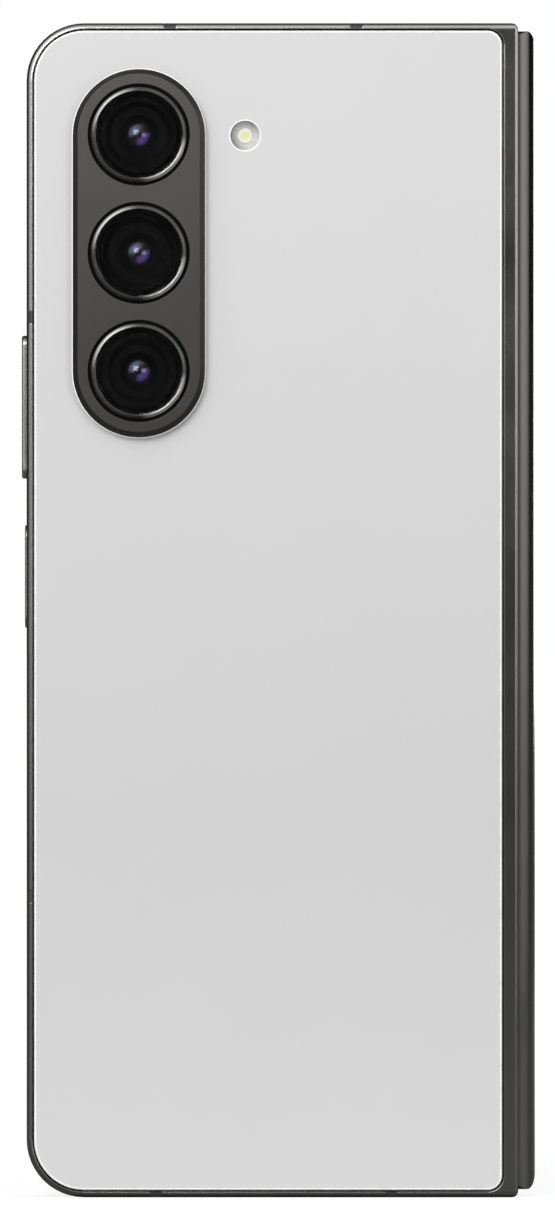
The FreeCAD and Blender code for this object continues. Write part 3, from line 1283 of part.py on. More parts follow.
# ================================================================ build
def build():
    """Write every node."""
    os.makedirs("parts", exist_ok=True)

    frame, breaks = rear_frame_and_breaks()
    save("rear_frame", frame)
    save("rear_antenna_breaks", *breaks)
    save("back_glass", back_glass())
    save("camera_island", camera_island())
    save("lens_rings", *[lens_ring(z) for z in LENS_Z])
    save("cover_lenses", *[cover_lens(z) for z in LENS_Z])
    for name, z, rim in zip(CAMERA_NAMES, LENS_Z, MOUTH_RIMS):
        save(name, camera_module(z, rim))
    save("lens_elements", *[lens_element(z) for z in LENS_Z])
    save("flash_lens", flash_lens())
    save("flash_led", flash_led())
    save("rear_lip", lip())
    save("rear_display", flat_display())
    save("rear_battery", battery(BATTERY_LOW, BATTERY_HIGH))
    save("charging_coil", charging_coil())
    save("main_board", main_board())
    save("board_shields", *shield_cans())
    save("loudspeaker", loudspeaker())
    save("usb_socket", usb_shell())
    save("usb_tongue", usb_tongue())
    save("vibration_motor", vibration_motor())
    save(
        "microphones",
        microphone(MIC_BOTTOM_X, RIM + CLEAR, RIM + MIC_DEPTH),
        microphone(MIC_TOP_X, PHONE_LENGTH - RIM - MIC_DEPTH, PHONE_LENGTH - RIM - CLEAR),
    )
    save("rear_magnets", *magnets())
    save("under_display_camera", under_display_camera())
    rocker = key(VOLUME_TOP, VOLUME_LENGTH, VOLUME_HEIGHT, VOLUME_PROUD, ROCKER_PLAY)
    save("volume_key", rocker.fuse(key_pin(0, 0)))
    save("side_key", key(SIDE_KEY_TOP, SIDE_KEY_LENGTH, SIDE_KEY_HEIGHT, SIDE_KEY_PROUD, CLEAR))
    volume_z = PHONE_LENGTH - VOLUME_TOP
    save(
        "key_switches",
        key_switch(volume_z - VOLUME_LENGTH / 4, VOLUME_HEIGHT, ROCKER_PLAY),
        key_switch(volume_z + VOLUME_LENGTH / 4, VOLUME_HEIGHT, ROCKER_PLAY),
        key_switch(PHONE_LENGTH - SIDE_KEY_TOP, VOLUME_HEIGHT, CLEAR),
    )
    save("rear_hinge_arms", *[hinge_arm(z, False) for z in BRACKET_Z])
    arm_face = -ARM_TOP - ARM_THICKNESS
    save("rear_arm_screws", *[screw(x, z, arm_face) for x, z in arm_screw_places(False)])
    save("main_board_screws", *board_screws(False))
    save("charging_board", charging_board())
    save("board_flex", board_flex())

    save("spine_cover", spine_cover())
    save("spine_end_caps", spine_end_cap(False), spine_end_cap(True))
    save("hinge_brackets", *[hinge_bracket(z) for z in BRACKET_Z])
    save("centre_plate", centre_plate())
    save("rear_wing_plate", wing_plate())
    save("cover_wing_plate", mirrored(wing_plate()))
    save("rear_fold_display", fold_strip())
    save("cover_fold_display", mirrored(fold_strip()))

    frame, breaks = cover_frame_and_breaks()
    save("cover_frame", mirrored(frame))
    save("cover_antenna_breaks", *[mirrored(b) for b in breaks])
    save("cover_glass", mirrored(cover_glass()))
    save("cover_screen_panel", mirrored(cover_panel()))
    save("cover_camera", mirrored(cover_camera()))
    save("earpiece_mesh", mirrored(earpiece_mesh()))
    save("earpiece_speaker", mirrored(earpiece_speaker()))
    save("cover_lip", mirrored(lip()))
    save("cover_display", mirrored(flat_display()))
    save("cover_battery", mirrored(battery(BATTERY_LOW, BATTERY_HIGH - COVER_BATTERY_SHORTER)))
    save("cover_board", mirrored(cover_board()))
    save("cover_magnets", *[mirrored(m) for m in magnets()])
    save("sim_tray", mirrored(sim_tray()))
    save("sim_card", mirrored(sim_card()))
    save("sim_reader", mirrored(sim_reader()))
    save("cover_hinge_arms", *[mirrored(hinge_arm(z, True)) for z in BRACKET_Z])
    save("cover_arm_screws", *[mirrored(screw(x, z, arm_face)) for x, z in arm_screw_places(True)])
    save("cover_board_screws", *[mirrored(s) for s in board_screws(True)])


build()
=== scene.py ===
"""Looks of a book-style folding phone: finishes, fine parts, studio and camera on the CAD frame."""
import logging
import math
from dataclasses import dataclass, field
from enum import Enum

import bmesh
import bpy
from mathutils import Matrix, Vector


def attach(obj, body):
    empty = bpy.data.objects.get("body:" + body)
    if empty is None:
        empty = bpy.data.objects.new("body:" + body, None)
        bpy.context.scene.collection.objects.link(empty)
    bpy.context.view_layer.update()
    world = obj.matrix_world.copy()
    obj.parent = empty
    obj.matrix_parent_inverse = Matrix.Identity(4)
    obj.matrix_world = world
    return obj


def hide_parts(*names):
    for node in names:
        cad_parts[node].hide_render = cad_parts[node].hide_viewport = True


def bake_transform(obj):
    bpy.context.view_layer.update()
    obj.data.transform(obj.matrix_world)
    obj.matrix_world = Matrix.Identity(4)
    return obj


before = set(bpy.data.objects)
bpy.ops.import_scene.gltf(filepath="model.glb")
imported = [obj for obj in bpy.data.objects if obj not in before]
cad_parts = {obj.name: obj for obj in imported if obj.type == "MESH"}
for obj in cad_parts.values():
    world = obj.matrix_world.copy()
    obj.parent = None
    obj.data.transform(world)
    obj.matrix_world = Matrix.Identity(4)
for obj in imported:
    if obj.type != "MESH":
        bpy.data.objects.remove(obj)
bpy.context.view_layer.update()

MM = 0.001
LOG = logging.getLogger("folding_phone")
Colour = tuple[float, float, float]
Point = tuple[float, float, float]
Pair = tuple[float, float]
Outline = list[Pair]
Names = tuple[str, ...]
Socket = bpy.types.NodeSocket
Outputs = bpy.types.NodeOutputs
Inputs = dict[str | int, object]
FLOAT, INTEGER, VECTOR = "NodeSocketFloat", "NodeSocketInt", "NodeSocketVector"
SHAPE, MATERIAL = "NodeSocketGeometry", "NodeSocketMaterial"
QUARTER_TURN = math.pi / 2
UPRIGHT = (QUARTER_TURN, 0.0, 0.0)
LOWEST_LENS: Point = (-18.425 * MM, 0.0, 108.96 * MM)
LENS_PITCH = 15.57 * MM
FLASH_CENTRE: Point = (-4.415 * MM, 0.0, 140.06 * MM)


# ------------------------------------------------------------------ node work
class NodeBench:
    """Places nodes in one tree and links them as they go in."""

    def __init__(self, tree: bpy.types.NodeTree) -> None:
        """Works on the given tree."""
        self.tree = tree

    def put(self, kind: str, inputs: Inputs | None = None, **settings: object) -> bpy.types.Node:
        """Adds one node.

        Args:
            kind: the node's type name.
            inputs: a value or a socket for each input, by name or number.
            settings: the node's own properties.

        Returns:
            The new node.
        """
        node = self.tree.nodes.new(kind)
        for name, value in settings.items():
            setattr(node, name, value)
        for name, value in (inputs or {}).items():
            self.join(value, node.inputs[name])
        return node

    def get(self, kind: str, inputs: Inputs | None = None, **settings: object) -> Socket:
        """Adds one node and gives its first output."""
        return self.put(kind, inputs, **settings).outputs[0]

    def join(self, value: object, socket: Socket) -> None:
        """Feeds a socket from another socket, or sets it to a plain value.

        Args:
            value: an output socket or a constant.
            socket: the input to feed.
        """
        if isinstance(value, Socket):
            self.tree.links.new(value, socket)
        elif isinstance(value, tuple) and len(value) == 3 and socket.type == "RGBA":
            socket.default_value = (*value, 1.0)
        else:
            socket.default_value = value

    def maths(self, operation: str, *values: object, clamp: bool = False) -> Socket:
        """Places a Math node for some values, its result held between 0 and 1 if clamped."""
        inputs = dict(enumerate(values))
        return self.get("ShaderNodeMath", inputs, operation=operation, use_clamp=clamp)

    def plus(self, first: object, second: object) -> Socket:
        """Adds two numbers."""
        return self.maths("ADD", first, second)

    def minus(self, first: object, second: object) -> Socket:
        """Takes the second number from the first."""
        return self.maths("SUBTRACT", first, second)

    def times(self, first: object, second: object) -> Socket:
        """Multiplies two numbers."""
        return self.maths("MULTIPLY", first, second)

    def over(self, first: object, second: object) -> Socket:
        """Divides the first number by the second."""
        return self.maths("DIVIDE", first, second)

    def vector(self, operation: str, *values: object) -> Socket:
        """Adds a Vector Math node.

        Args:
            operation: the node's operation.
            values: its vectors, or its scale as {"Scale": value} last.

        Returns:
            The result's socket, a number for products and lengths.
        """
        inputs: Inputs = {}
        for place, value in enumerate(values):
            inputs.update(value if isinstance(value, dict) else {place: value})
        outputs = self.put("ShaderNodeVectorMath", inputs, operation=operation).outputs
        return outputs["Value" if operation in ("DOT_PRODUCT", "LENGTH") else "Vector"]

    def point(self, x: object = 0.0, y: object = 0.0, z: object = 0.0) -> Socket:
        """Makes a vector of three numbers."""
        return self.get("ShaderNodeCombineXYZ", {0: x, 1: y, 2: z})

    def split(self, place: object) -> Outputs:
        """Takes a vector apart into X, Y and Z."""
        return self.put("ShaderNodeSeparateXYZ", {"Vector": place}).outputs

    def blend(self, share: object, first: object, second: object) -> Socket:
        """Mixes two colours, with the second at its full where the share is 1."""
        inputs = {0: share, 6: first, 7: second}
        return self.put("ShaderNodeMix", inputs, data_type="RGBA").outputs[2]

    def spread(self, value: object, low: float, high: float, start: object, end: object) -> Socket:
        """Maps a range of numbers to another, held at its ends.

        Args:
            value: the number to map.
            low: the range's start.
            high: the range's end.
            start: the result at the range's start.
            end: the result at its end.

        Returns:
            The result's socket.
        """
        places = {"Value": value, "From Min": low, "From Max": high, "To Min": start, "To Max": end}
        return self.get("ShaderNodeMapRange", places)

    def noise(self, place: object, scale: object, detail: float, warp: float = 0.0) -> Socket:
        """Lays a cloud of a scale and a detail, warped if asked."""
        inputs = {"Vector": place, "Scale": scale, "Detail": detail, "Distortion": warp}
        return self.get("ShaderNodeTexNoise", inputs)

    def cells(self, place: object, scale: float, **settings: object) -> Socket:
        """Lays scattered cells and gives the distance in each."""
        return self.get("ShaderNodeTexVoronoi", {"Vector": place, "Scale": scale}, **settings)

    def lattice(
        self, place: Socket, colours: tuple[Colour, ...], sizes: Point, **settings: object
    ) -> Outputs:
        """Lays a brick pattern over x and z.

        Args:
            place: the object coordinates.
            colours: two colours of brick, then the mortar's.
            sizes: the mortar's width, a brick's width and a row's height.
            settings: the node's own properties.

        Returns:
            The pattern's outputs.
        """
        parts = self.split(place)
        inputs = dict(zip(("Color1", "Color2", "Mortar"), colours))
        inputs |= dict(zip(("Mortar Size", "Brick Width", "Row Height"), sizes))
        inputs |= {"Vector": self.point(parts["X"], parts["Z"]), "Scale": 1.0}
        return self.put("ShaderNodeTexBrick", inputs, **settings).outputs


@dataclass(frozen=True)
class Recipe:
    """A node group with named inputs, kept once and used by several materials or pieces."""

    name: str = "recipe"
    kind: str = "ShaderNodeTree"
    numbers: Names = ()
    counts: Names = ()
    vectors: Names = ()
    results: Names = ()

    def sockets(self) -> list[tuple[str, str, str]]:
        """What goes in and out.

        Returns:
            Each socket's name, way and kind.
        """
        kinds = ((FLOAT, self.numbers), (INTEGER, self.counts), (VECTOR, self.vectors))
        taken = [(name, "INPUT", kind) for kind, names in kinds for name in names]
        return taken + [(name, "OUTPUT", FLOAT) for name in self.results]

    def lay(self, bench: NodeBench, given: Outputs) -> tuple[Socket, ...]:
        """Lays the group's nodes.

        Args:
            bench: the group's bench.
            given: what the group is given.

        Returns:
            A socket for each of its outputs.
        """
        raise NotImplementedError

    def tree(self) -> bpy.types.NodeTree:
        """The node tree, built the first time it is asked for.

        Returns:
            The tree.
        """
        found = bpy.data.node_groups.get(self.name)
        if found is not None:
            return found
        tree = bpy.data.node_groups.new(self.name, self.kind)
        for name, way, kind in self.sockets():
            tree.interface.new_socket(name, in_out=way, socket_type=kind)
        bench = NodeBench(tree)
        given = bench.put("NodeGroupInput").outputs
        bench.put("NodeGroupOutput", dict(enumerate(self.lay(bench, given))))
        return tree

    def place(self, bench: NodeBench, **values: object) -> Outputs:
        """Puts the group in a material, with a value for each input, and gives its outputs."""
        return bench.put("ShaderNodeGroup", values, node_tree=self.tree()).outputs


@dataclass(frozen=True)
class FineGrain(Recipe):
    """Even fine grain with a slow drift of tone, as of blasted metal or moulded plastic."""

    name: str = "fine_grain"
    numbers: Names = ("Scale",)
    vectors: Names = ("Vector", "Stretch")
    results: Names = ("Height", "Tone")
    drift_scale: float = 60.0
    fine_share: float = 0.4
    tone_range: Pair = (0.3, 0.7)
    fine_detail: float = 2.0
    broad_detail: float = 3.0

    def lay(self, bench: NodeBench, given: Outputs) -> tuple[Socket, ...]:
        """Lays two sizes of grain.

        Args:
            bench: the group's bench.
            given: what the group is given.

        Returns:
            The height and the tone.
        """
        place = bench.vector("MULTIPLY", given["Vector"], given["Stretch"])
        fine = bench.noise(place, given["Scale"], self.fine_detail)
        broad = bench.noise(given["Vector"], self.drift_scale, self.broad_detail)
        broad = bench.times(broad, 1 - self.fine_share)
        mixed = bench.maths("MULTIPLY_ADD", fine, self.fine_share, broad)
        return fine, bench.spread(mixed, *self.tone_range, 0.0, 1.0)


@dataclass(frozen=True)
class WornEdgeAndHighlight(Recipe):
    """Mask of the sharp edges, broken up, where a finish is polished by handling; on metal and
    glass it also carries painted highlight.
    """

    name: str = "worn_edge_and_highlight"
    numbers: Names = ("Reach", "Strength")
    vectors: Names = ("Vector",)
    results: Names = ("Mask",)
    break_scale: float = 700.0
    break_range: Pair = (0.3, 0.65)
    least_wear: float = 0.55
    samples: int = 4
    break_detail: float = 3.0

    def lay(self, bench: NodeBench, given: Outputs) -> tuple[Socket, ...]:
        """Compares the rounded normal with the true one.

        Args:
            bench: the group's bench.
            given: what the group is given.

        Returns:
            The mask.
        """
        rounded = bench.get("ShaderNodeBevel", {"Radius": given["Reach"]}, samples=self.samples)
        true = bench.put("ShaderNodeNewGeometry").outputs["Normal"]
        apart = bench.minus(1.0, bench.vector("DOT_PRODUCT", rounded, true))
        broken = bench.noise(given["Vector"], self.break_scale, self.break_detail)
        share = bench.spread(broken, *self.break_range, self.least_wear, 1.0)
        wear_and_highlight = bench.times(apart, share)
        return (bench.maths("MULTIPLY", wear_and_highlight, given["Strength"], clamp=True),)


@dataclass(frozen=True)
class Smudge(Recipe):
    """Faint greasy patches and specks of dust on a handled surface."""

    name: str = "smudge"
    numbers: Names = ("Scale",)
    vectors: Names = ("Vector",)
    results: Names = ("Patches", "Dust")
    patch_range: Pair = (0.42, 0.68)
    dust_scale: float = 900.0
    speck: Pair = (0.02, 0.09)
    cloud_detail: float = 4.0
    cloud_warp: float = 1.2

    def lay(self, bench: NodeBench, given: Outputs) -> tuple[Socket, ...]:
        """Lays warped clouds and rare points.

        Args:
            bench: the group's bench.
            given: what the group is given.

        Returns:
            The patches and the dust.
        """
        cloud = bench.noise(given["Vector"], given["Scale"], self.cloud_detail, self.cloud_warp)
        specks = bench.cells(given["Vector"], self.dust_scale)
        patches = bench.spread(cloud, *self.patch_range, 0.0, 1.0)
        return patches, bench.spread(specks, *self.speck, 1.0, 0.0)


@dataclass(frozen=True)
class RecessShade(Recipe):
    """Mask of grooves and gaps where little light reaches, used to lay painted shade."""

    name: str = "painted_recess_shade"
    numbers: Names = ("Reach",)
    results: Names = ("Mask",)
    shut: Pair = (0.25, 0.75)
    samples: int = 8

    def lay(self, bench: NodeBench, given: Outputs) -> tuple[Socket, ...]:
        """Reads how shut in a point is.

        Args:
            bench: the group's bench.
            given: what the group is given.

        Returns:
            The mask.
        """
        reach = {"Distance": given["Reach"]}
        sky = bench.put("ShaderNodeAmbientOcclusion", reach, samples=self.samples).outputs["AO"]
        return (bench.spread(sky, *self.shut, 1.0, 0.0),)


GRAIN, EDGE, SMUDGE, RECESS_SHADE = FineGrain(), WornEdgeAndHighlight(), Smudge(), RecessShade()


# ------------------------------------------------------------------ finishes
class Lay(Enum):
    """How a finish's grain runs: its stretch along x, y and z."""

    EVEN = (1.0, 1.0, 1.0)
    ALONG_X = (0.03, 1.0, 1.0)
    ALONG_Z = (1.0, 1.0, 0.03)


class Skin(NodeBench):
    """A material's bench, which also feeds its shader and knows the place on the piece."""

    def __init__(self, material: bpy.types.Material) -> None:
        """Works on the given material.

        Args:
            material: the material, which gets its nodes.
        """
        material.use_nodes = True
        super().__init__(material.node_tree)
        self.shader = self.tree.nodes["Principled BSDF"]
        self.place = self.put("ShaderNodeTexCoord").outputs["Object"]

    def feed(self, **values: object) -> None:
        """Feeds or sets the shader's inputs, with _ for a space in a name."""
        for name, value in values.items():
            self.join(value, self.shader.inputs[name.replace("_", " ")])

    def roughen(self, start: object, *changes: tuple[Socket, float]) -> None:
        """Feeds the roughness.

        Args:
            start: the roughness of the bare finish.
            changes: masks, each with what it adds.
        """
        for mask, change in changes:
            last = mask is changes[-1][0]
            start = self.maths("MULTIPLY_ADD", mask, change, start, clamp=last)
        self.feed(Roughness=start)


@dataclass(frozen=True)
class Finish:
    """A material: the values that all finishes share, over which each kind lays its own nodes."""

    name: str
    colour: Colour
    drift: float = 0.18
    roughness: float = 0.5
    rough_spread: Pair = (0.0, 0.07)
    lay_of_grain: Lay = Lay.EVEN
    grain_scale: float = 7000.0
    grain_depth: float = 0.25
    relief: float = 0.02 * MM
    edge_reach: float = 0.1 * MM
    edge_strength: float = 0.6
    edge_gloss: float = -0.1
    smudge_scale: float = 70.0
    smudge_dull: float = 0.02
    dust_dull: float = 0.2

    def lay(self, skin: Skin) -> None:
        """Feeds the shader.

        Args:
            skin: the material's bench.
        """
        raise NotImplementedError

    def material(self) -> bpy.types.Material:
        """The material, built the first time it is asked for.

        Returns:
            The material.
        """
        title = f"{self.name}_finish"
        found = bpy.data.materials.get(title)
        if found is not None:
            return found
        made = bpy.data.materials.new(title)
        self.lay(Skin(made))
        return made

    def tones(self, share: float) -> tuple[Colour, Colour]:
        """The colour made darker and lighter by a share, dark first."""
        dark = tuple(c * (1 - share) for c in self.colour)
        return dark, tuple(min(1.0, c * (1 + share)) for c in self.colour)

    def toned(self, skin: Skin, mask: Socket) -> Socket:
        """The colour, drifting from dark to light as a mask rises."""
        return skin.blend(mask, *self.tones(self.drift))

    def dulled(self, skin: Skin, mask: Socket, reach: Pair = (0.0, 1.0)) -> Socket:
        """The roughness, drifting over its spread as a mask rises."""
        low, high = (self.roughness + change for change in self.rough_spread)
        return skin.spread(mask, *reach, low, high)

    def grain(self, skin: Skin) -> Outputs:
        """The finish's grain."""
        stretch = self.lay_of_grain.value
        return GRAIN.place(skin, Vector=skin.place, Scale=self.grain_scale, Stretch=stretch)

    def wear_and_highlight(self, skin: Skin) -> Socket:
        """The mask of the finish's edges, for wear and painted highlight."""
        reach, strength = self.edge_reach, self.edge_strength
        return EDGE.place(skin, Vector=skin.place, Reach=reach, Strength=strength)["Mask"]

    def smudges(self, skin: Skin) -> Outputs:
        """The smudges and dust on the finish."""
        return SMUDGE.place(skin, Vector=skin.place, Scale=self.smudge_scale)

    def bump(self, skin: Skin, height: Socket, **more: Socket) -> None:
        """Raises the surface where a height rises."""
        inputs = {"Strength": self.grain_depth, "Distance": self.relief, "Height": height} | more
        skin.feed(Normal=skin.get("ShaderNodeBump", inputs))


@dataclass(frozen=True)
class PaintedHeightShade:
    """Painted light and shade that change slowly with height: a tone at the foot, in the middle and
    at the top.
    """

    tones: Point = (1.0, 1.0, 1.0)
    heights: Point = (5.0 * MM, 80.0 * MM, 150.0 * MM)

    def over(self, skin: Skin, body: Socket) -> Socket:
        """Lays the painted light and shade over a colour.

        Args:
            skin: the material's bench.
            body: the colour.

        Returns:
            The colour with its painted light and shade.
        """
        height = skin.split(skin.place)["Z"]
        foot, middle, top = self.heights
        low = skin.spread(height, foot, middle, self.tones[0], self.tones[1])
        high = skin.spread(height, middle, top, 1.0, self.tones[2] / self.tones[1])
        tone = skin.times(low, high)
        return skin.vector("MULTIPLY", body, skin.point(tone, tone, tone))


@dataclass(frozen=True)
class Turning:
    """Places about a turned piece's own axis; a stack of equal pieces is one pitch apart. Its
    direction points toward the key light.
    """

    middle: Point = LOWEST_LENS
    pitch: float = LENS_PITCH
    # the side the key light comes from, toward which painted highlight, shade and reflection are
    # laid
    light_lean: Point = (-0.7071, 0.7071, 0.0)

    def at(self, skin: Skin) -> tuple[Socket, Socket]:
        """Finds the distance from the nearest axis and how far a place lies toward the light.

        Args:
            skin: the material's bench.

        Returns:
            The radius, and the cosine of the angle from the direction of the light.
        """
        parts = skin.split(skin.vector("SUBTRACT", skin.place, self.middle))
        up = skin.plus(parts["Z"], self.pitch / 2)
        up = skin.minus(skin.maths("FLOORED_MODULO", up, self.pitch), self.pitch / 2)
        flat = skin.point(parts["X"], up)
        radius = skin.vector("LENGTH", flat)
        return radius, skin.over(skin.vector("DOT_PRODUCT", flat, self.light_lean), radius)


@dataclass(frozen=True)
class Metal(Finish):
    """Solid metal, blasted, brushed or turned, with bright edges that are partly wear and partly
    painted highlight, painted shade in its gaps, and painted light and shade by height.

    A turned metal is dark all round but for two bright arcs of painted highlight, toward the light
    and away from it.
    """

    drift: float = 0.08
    roughness: float = 0.3
    rough_spread: Pair = (-0.04, 0.05)
    grain_scale: float = 9000.0
    grain_depth: float = 0.05
    edge_colour: Colour = (0.5, 0.5, 0.49)
    edge_reach: float = 0.12 * MM
    edge_strength: float = 0.5
    edge_gloss: float = -0.08
    smudge_scale: float = 45.0
    recess_reach: float = 0.6 * MM
    recess_shade_depth: float = 0.97
    soft_edge: float = 0.1 * MM
    painted_height_shade: PaintedHeightShade = PaintedHeightShade()
    turning: Turning | None = None
    sector_highlight_tones: Point = (0.28, 0.88, 2.9)
    sector_edges: Pair = (0.55, 0.9)
    cross_edges: Pair = (0.4, 0.1)
    cross_tone: float = 0.18
    edge_samples: int = 6

    def sector_highlights(self, skin: Skin, body: Socket) -> Socket:
        """Lays the painted highlight arcs of a turned metal over its colour.

        Args:
            skin: the material's bench.
            body: the colour.

        Returns:
            The colour with its painted highlight arcs.
        """
        # painted highlight: two bright arcs, toward the light and away from it
        dark, toward, away = self.sector_highlight_tones
        along = self.turning.at(skin)[1]
        square = skin.times(along, along)
        bright = skin.spread(along, -1.0, 1.0, away, toward)
        tone = skin.spread(square, *self.sector_edges, dark, bright)
        tone = skin.plus(tone, skin.spread(square, *self.cross_edges, 0.0, self.cross_tone))
        return skin.vector("SCALE", body, {"Scale": tone})

    def lay(self, skin: Skin) -> None:
        """Lays the metal's tone, grain, bright edges of wear and painted highlight, and painted
        shade.

        Args:
            skin: the material's bench.
        """
        grain, wear_and_highlight = self.grain(skin), self.wear_and_highlight(skin)
        body = self.painted_height_shade.over(skin, self.toned(skin, grain["Tone"]))
        if self.turning:
            body = self.sector_highlights(skin, body)
        # bright edges: partly wear, partly painted highlight on the chamfers
        body = skin.blend(wear_and_highlight, body, self.edge_colour)
        # painted shade: grooves and gaps are darkened where little light reaches them
        painted_shade_mask = RECESS_SHADE.place(skin, Reach=self.recess_reach)["Mask"]
        body = skin.blend(painted_shade_mask, body, self.tones(self.recess_shade_depth)[0])
        skin.feed(Base_Color=body, Metallic=1.0)
        patches = self.smudges(skin)["Patches"]
        rough = self.dulled(skin, grain["Tone"])
        skin.roughen(rough, (patches, self.smudge_dull), (wear_and_highlight, self.edge_gloss))
        eased = skin.get("ShaderNodeBevel", {"Radius": self.soft_edge}, samples=self.edge_samples)
        self.bump(skin, grain["Height"], Normal=eased)


@dataclass(frozen=True)
class Moulding(Finish):
    """Moulded plastic or rubber with a fine eroded texture; a turned bowl gets painted shade on one
    side, and a glow is painted light.
    """

    specular: float = 0.4
    glow: float = 0.0
    edge_lift: Pair = (1.6, 0.01)
    turning: Turning | None = None
    shaded: Colour = (0.2, 0.2, 0.2)
    shade_radii: Pair = (1.0 * MM, 1.95 * MM)
    shade_inside: float = 0.1
    shade_turn: Pair = (-0.9, 0.1)
    shade_depth: Pair = (0.05, 0.95)

    def lay(self, skin: Skin) -> None:
        """Lays the moulding's tone and texture.

        Args:
            skin: the material's bench.
        """
        grain, wear_and_highlight = self.grain(skin), self.wear_and_highlight(skin)
        share, lift = self.edge_lift
        lighter = tuple(min(1.0, c * share + lift) for c in self.colour)
        body = skin.blend(wear_and_highlight, self.toned(skin, grain["Tone"]), lighter)
        # painted shade: the bowl wall on the light's side is darkened by direction
        if self.turning:
            radius, along = self.turning.at(skin)
            outward = skin.spread(radius, *self.shade_radii, self.shade_inside, 1.0)
            sideways = skin.spread(along, *self.shade_turn, *self.shade_depth)
            body = skin.blend(skin.times(outward, sideways), body, self.shaded)
        # a glow here is painted light
        skin.feed(Base_Color=body, Emission_Color=body, Emission_Strength=self.glow)
        skin.feed(Specular_IOR_Level=self.specular)
        rough = self.dulled(skin, self.smudges(skin)["Patches"])
        skin.roughen(rough, (wear_and_highlight, self.edge_gloss))
        self.bump(skin, grain["Height"])


@dataclass(frozen=True)
class FrostedGlass(Finish):
    """Back glass with a satin etch: a soft haze, a fine sparkle and a bright ground edge, pale in
    itself and lightened further with a glow as painted highlight.
    """

    drift: float = 0.012
    roughness: float = 0.34
    rough_spread: Pair = (0.0, 0.03)
    grain_scale: float = 14000.0
    grain_depth: float = 0.03
    relief: float = 0.01 * MM
    edge_colour: Colour = (0.99, 0.99, 0.99)
    edge_reach: float = 0.28 * MM
    edge_strength: float = 12.0
    edge_gloss: float = -0.2
    edge_painted_glow: float = 0.8
    smudge_scale: float = 30.0
    specular: float = 0.5
    # painted shade by height: the back glass is darker around its lower middle
    painted_height_shade: PaintedHeightShade = PaintedHeightShade((0.98, 0.9, 0.98), (5.0 * MM, 50.0 * MM, 150.0 * MM))

    def lay(self, skin: Skin) -> None:
        """Lays the etch, the painted shade by height and the ground edge with its painted
        highlight.

        Args:
            skin: the material's bench.
        """
        grain, edge = self.grain(skin), self.wear_and_highlight(skin)
        body = self.painted_height_shade.over(skin, self.toned(skin, grain["Tone"]))
        # painted highlight: the ground edge is near white and glows
        light = skin.blend(edge, (0.0, 0.0, 0.0), self.edge_colour)
        skin.feed(Base_Color=skin.blend(edge, body, self.edge_colour), Emission_Color=light)
        skin.feed(Emission_Strength=self.edge_painted_glow, Specular_IOR_Level=self.specular)
        rough = self.dulled(skin, self.smudges(skin)["Patches"])
        skin.roughen(rough, (edge, self.edge_gloss))
        self.bump(skin, grain["Height"])


@dataclass(frozen=True)
class ClearGlass(Finish):
    """Polished clear glass with faint smudges and dust."""

    drift: float = 0.03
    roughness: float = 0.02
    grain_scale: float = 2500.0
    grain_depth: float = 0.01
    relief: float = 0.01 * MM
    smudge_scale: float = 60.0
    smudge_dull: float = 0.015
    ior: float = 1.5

    def lay(self, skin: Skin) -> None:
        """Lays the smudges and dust.

        Args:
            skin: the material's bench.
        """
        touched = self.smudges(skin)
        body = skin.blend(touched["Dust"], *reversed(self.tones(self.drift)))
        skin.feed(Base_Color=body, Transmission_Weight=1.0, IOR=self.ior)
        marks = ((touched["Patches"], self.smudge_dull), (touched["Dust"], self.dust_dull))
        skin.roughen(self.roughness, *marks)
        self.bump(skin, self.grain(skin)["Height"])


@dataclass(frozen=True)
class CoatedGlass(Finish):
    """A lens element: a black pupil, then a blue and violet coating that fades toward the rim, its
    colours laid by direction from the light as painted reflection.
    """

    roughness: float = 0.1
    rough_spread: Pair = (0.0, 0.08)
    grain_depth: float = 0.02
    relief: float = 0.01 * MM
    violet_reflection_colour: Colour = (0.19, 0.11, 0.5)
    black: Colour = (0.002, 0.002, 0.004)
    turning: Turning = Turning()
    pupil: Pair = (0.32 * MM, 0.608 * MM)
    pupil_share: float = 0.97
    rim: Pair = (1.08 * MM, 1.425 * MM)
    rim_share: float = 0.85
    blue_reflection_turn: Pair = (0.25, 0.9)
    violet_reflection_turn: Pair = (-0.25, -0.8)
    cloud_scale: float = 900.0
    cloud: Pair = (0.3, 0.7)
    cloud_turn: float = 0.15
    metal: float = 0.35
    coat: float = 0.5
    coat_roughness: float = 0.04

    def lay(self, skin: Skin) -> None:
        """Lays the coating in rings about each lens's own axis, with its painted reflection.

        Args:
            skin: the material's bench.
        """
        radius, along = self.turning.at(skin)
        cloud = skin.noise(skin.place, self.cloud_scale, 2.0)
        drift = skin.spread(cloud, *self.cloud, -self.cloud_turn, self.cloud_turn)
        along = skin.plus(along, drift)
        # painted reflection: blue on the side toward the light, violet on the side away
        blue = skin.spread(along, *self.blue_reflection_turn, 0.0, 1.0)
        violet = skin.spread(along, *self.violet_reflection_turn, 0.0, 1.0)
        rim = skin.spread(radius, *self.rim, 0.0, self.rim_share)
        pupil = skin.spread(radius, *self.pupil, self.pupil_share, 0.0)
        tint = skin.blend(violet, skin.blend(blue, self.black, self.colour), self.violet_reflection_colour)
        tint = skin.blend(pupil, skin.blend(rim, tint, self.black), self.black)
        skin.feed(Base_Color=tint, Metallic=self.metal)
        skin.feed(Coat_Weight=self.coat, Coat_Roughness=self.coat_roughness)
        skin.roughen(self.dulled(skin, cloud, self.cloud))
        self.bump(skin, cloud)


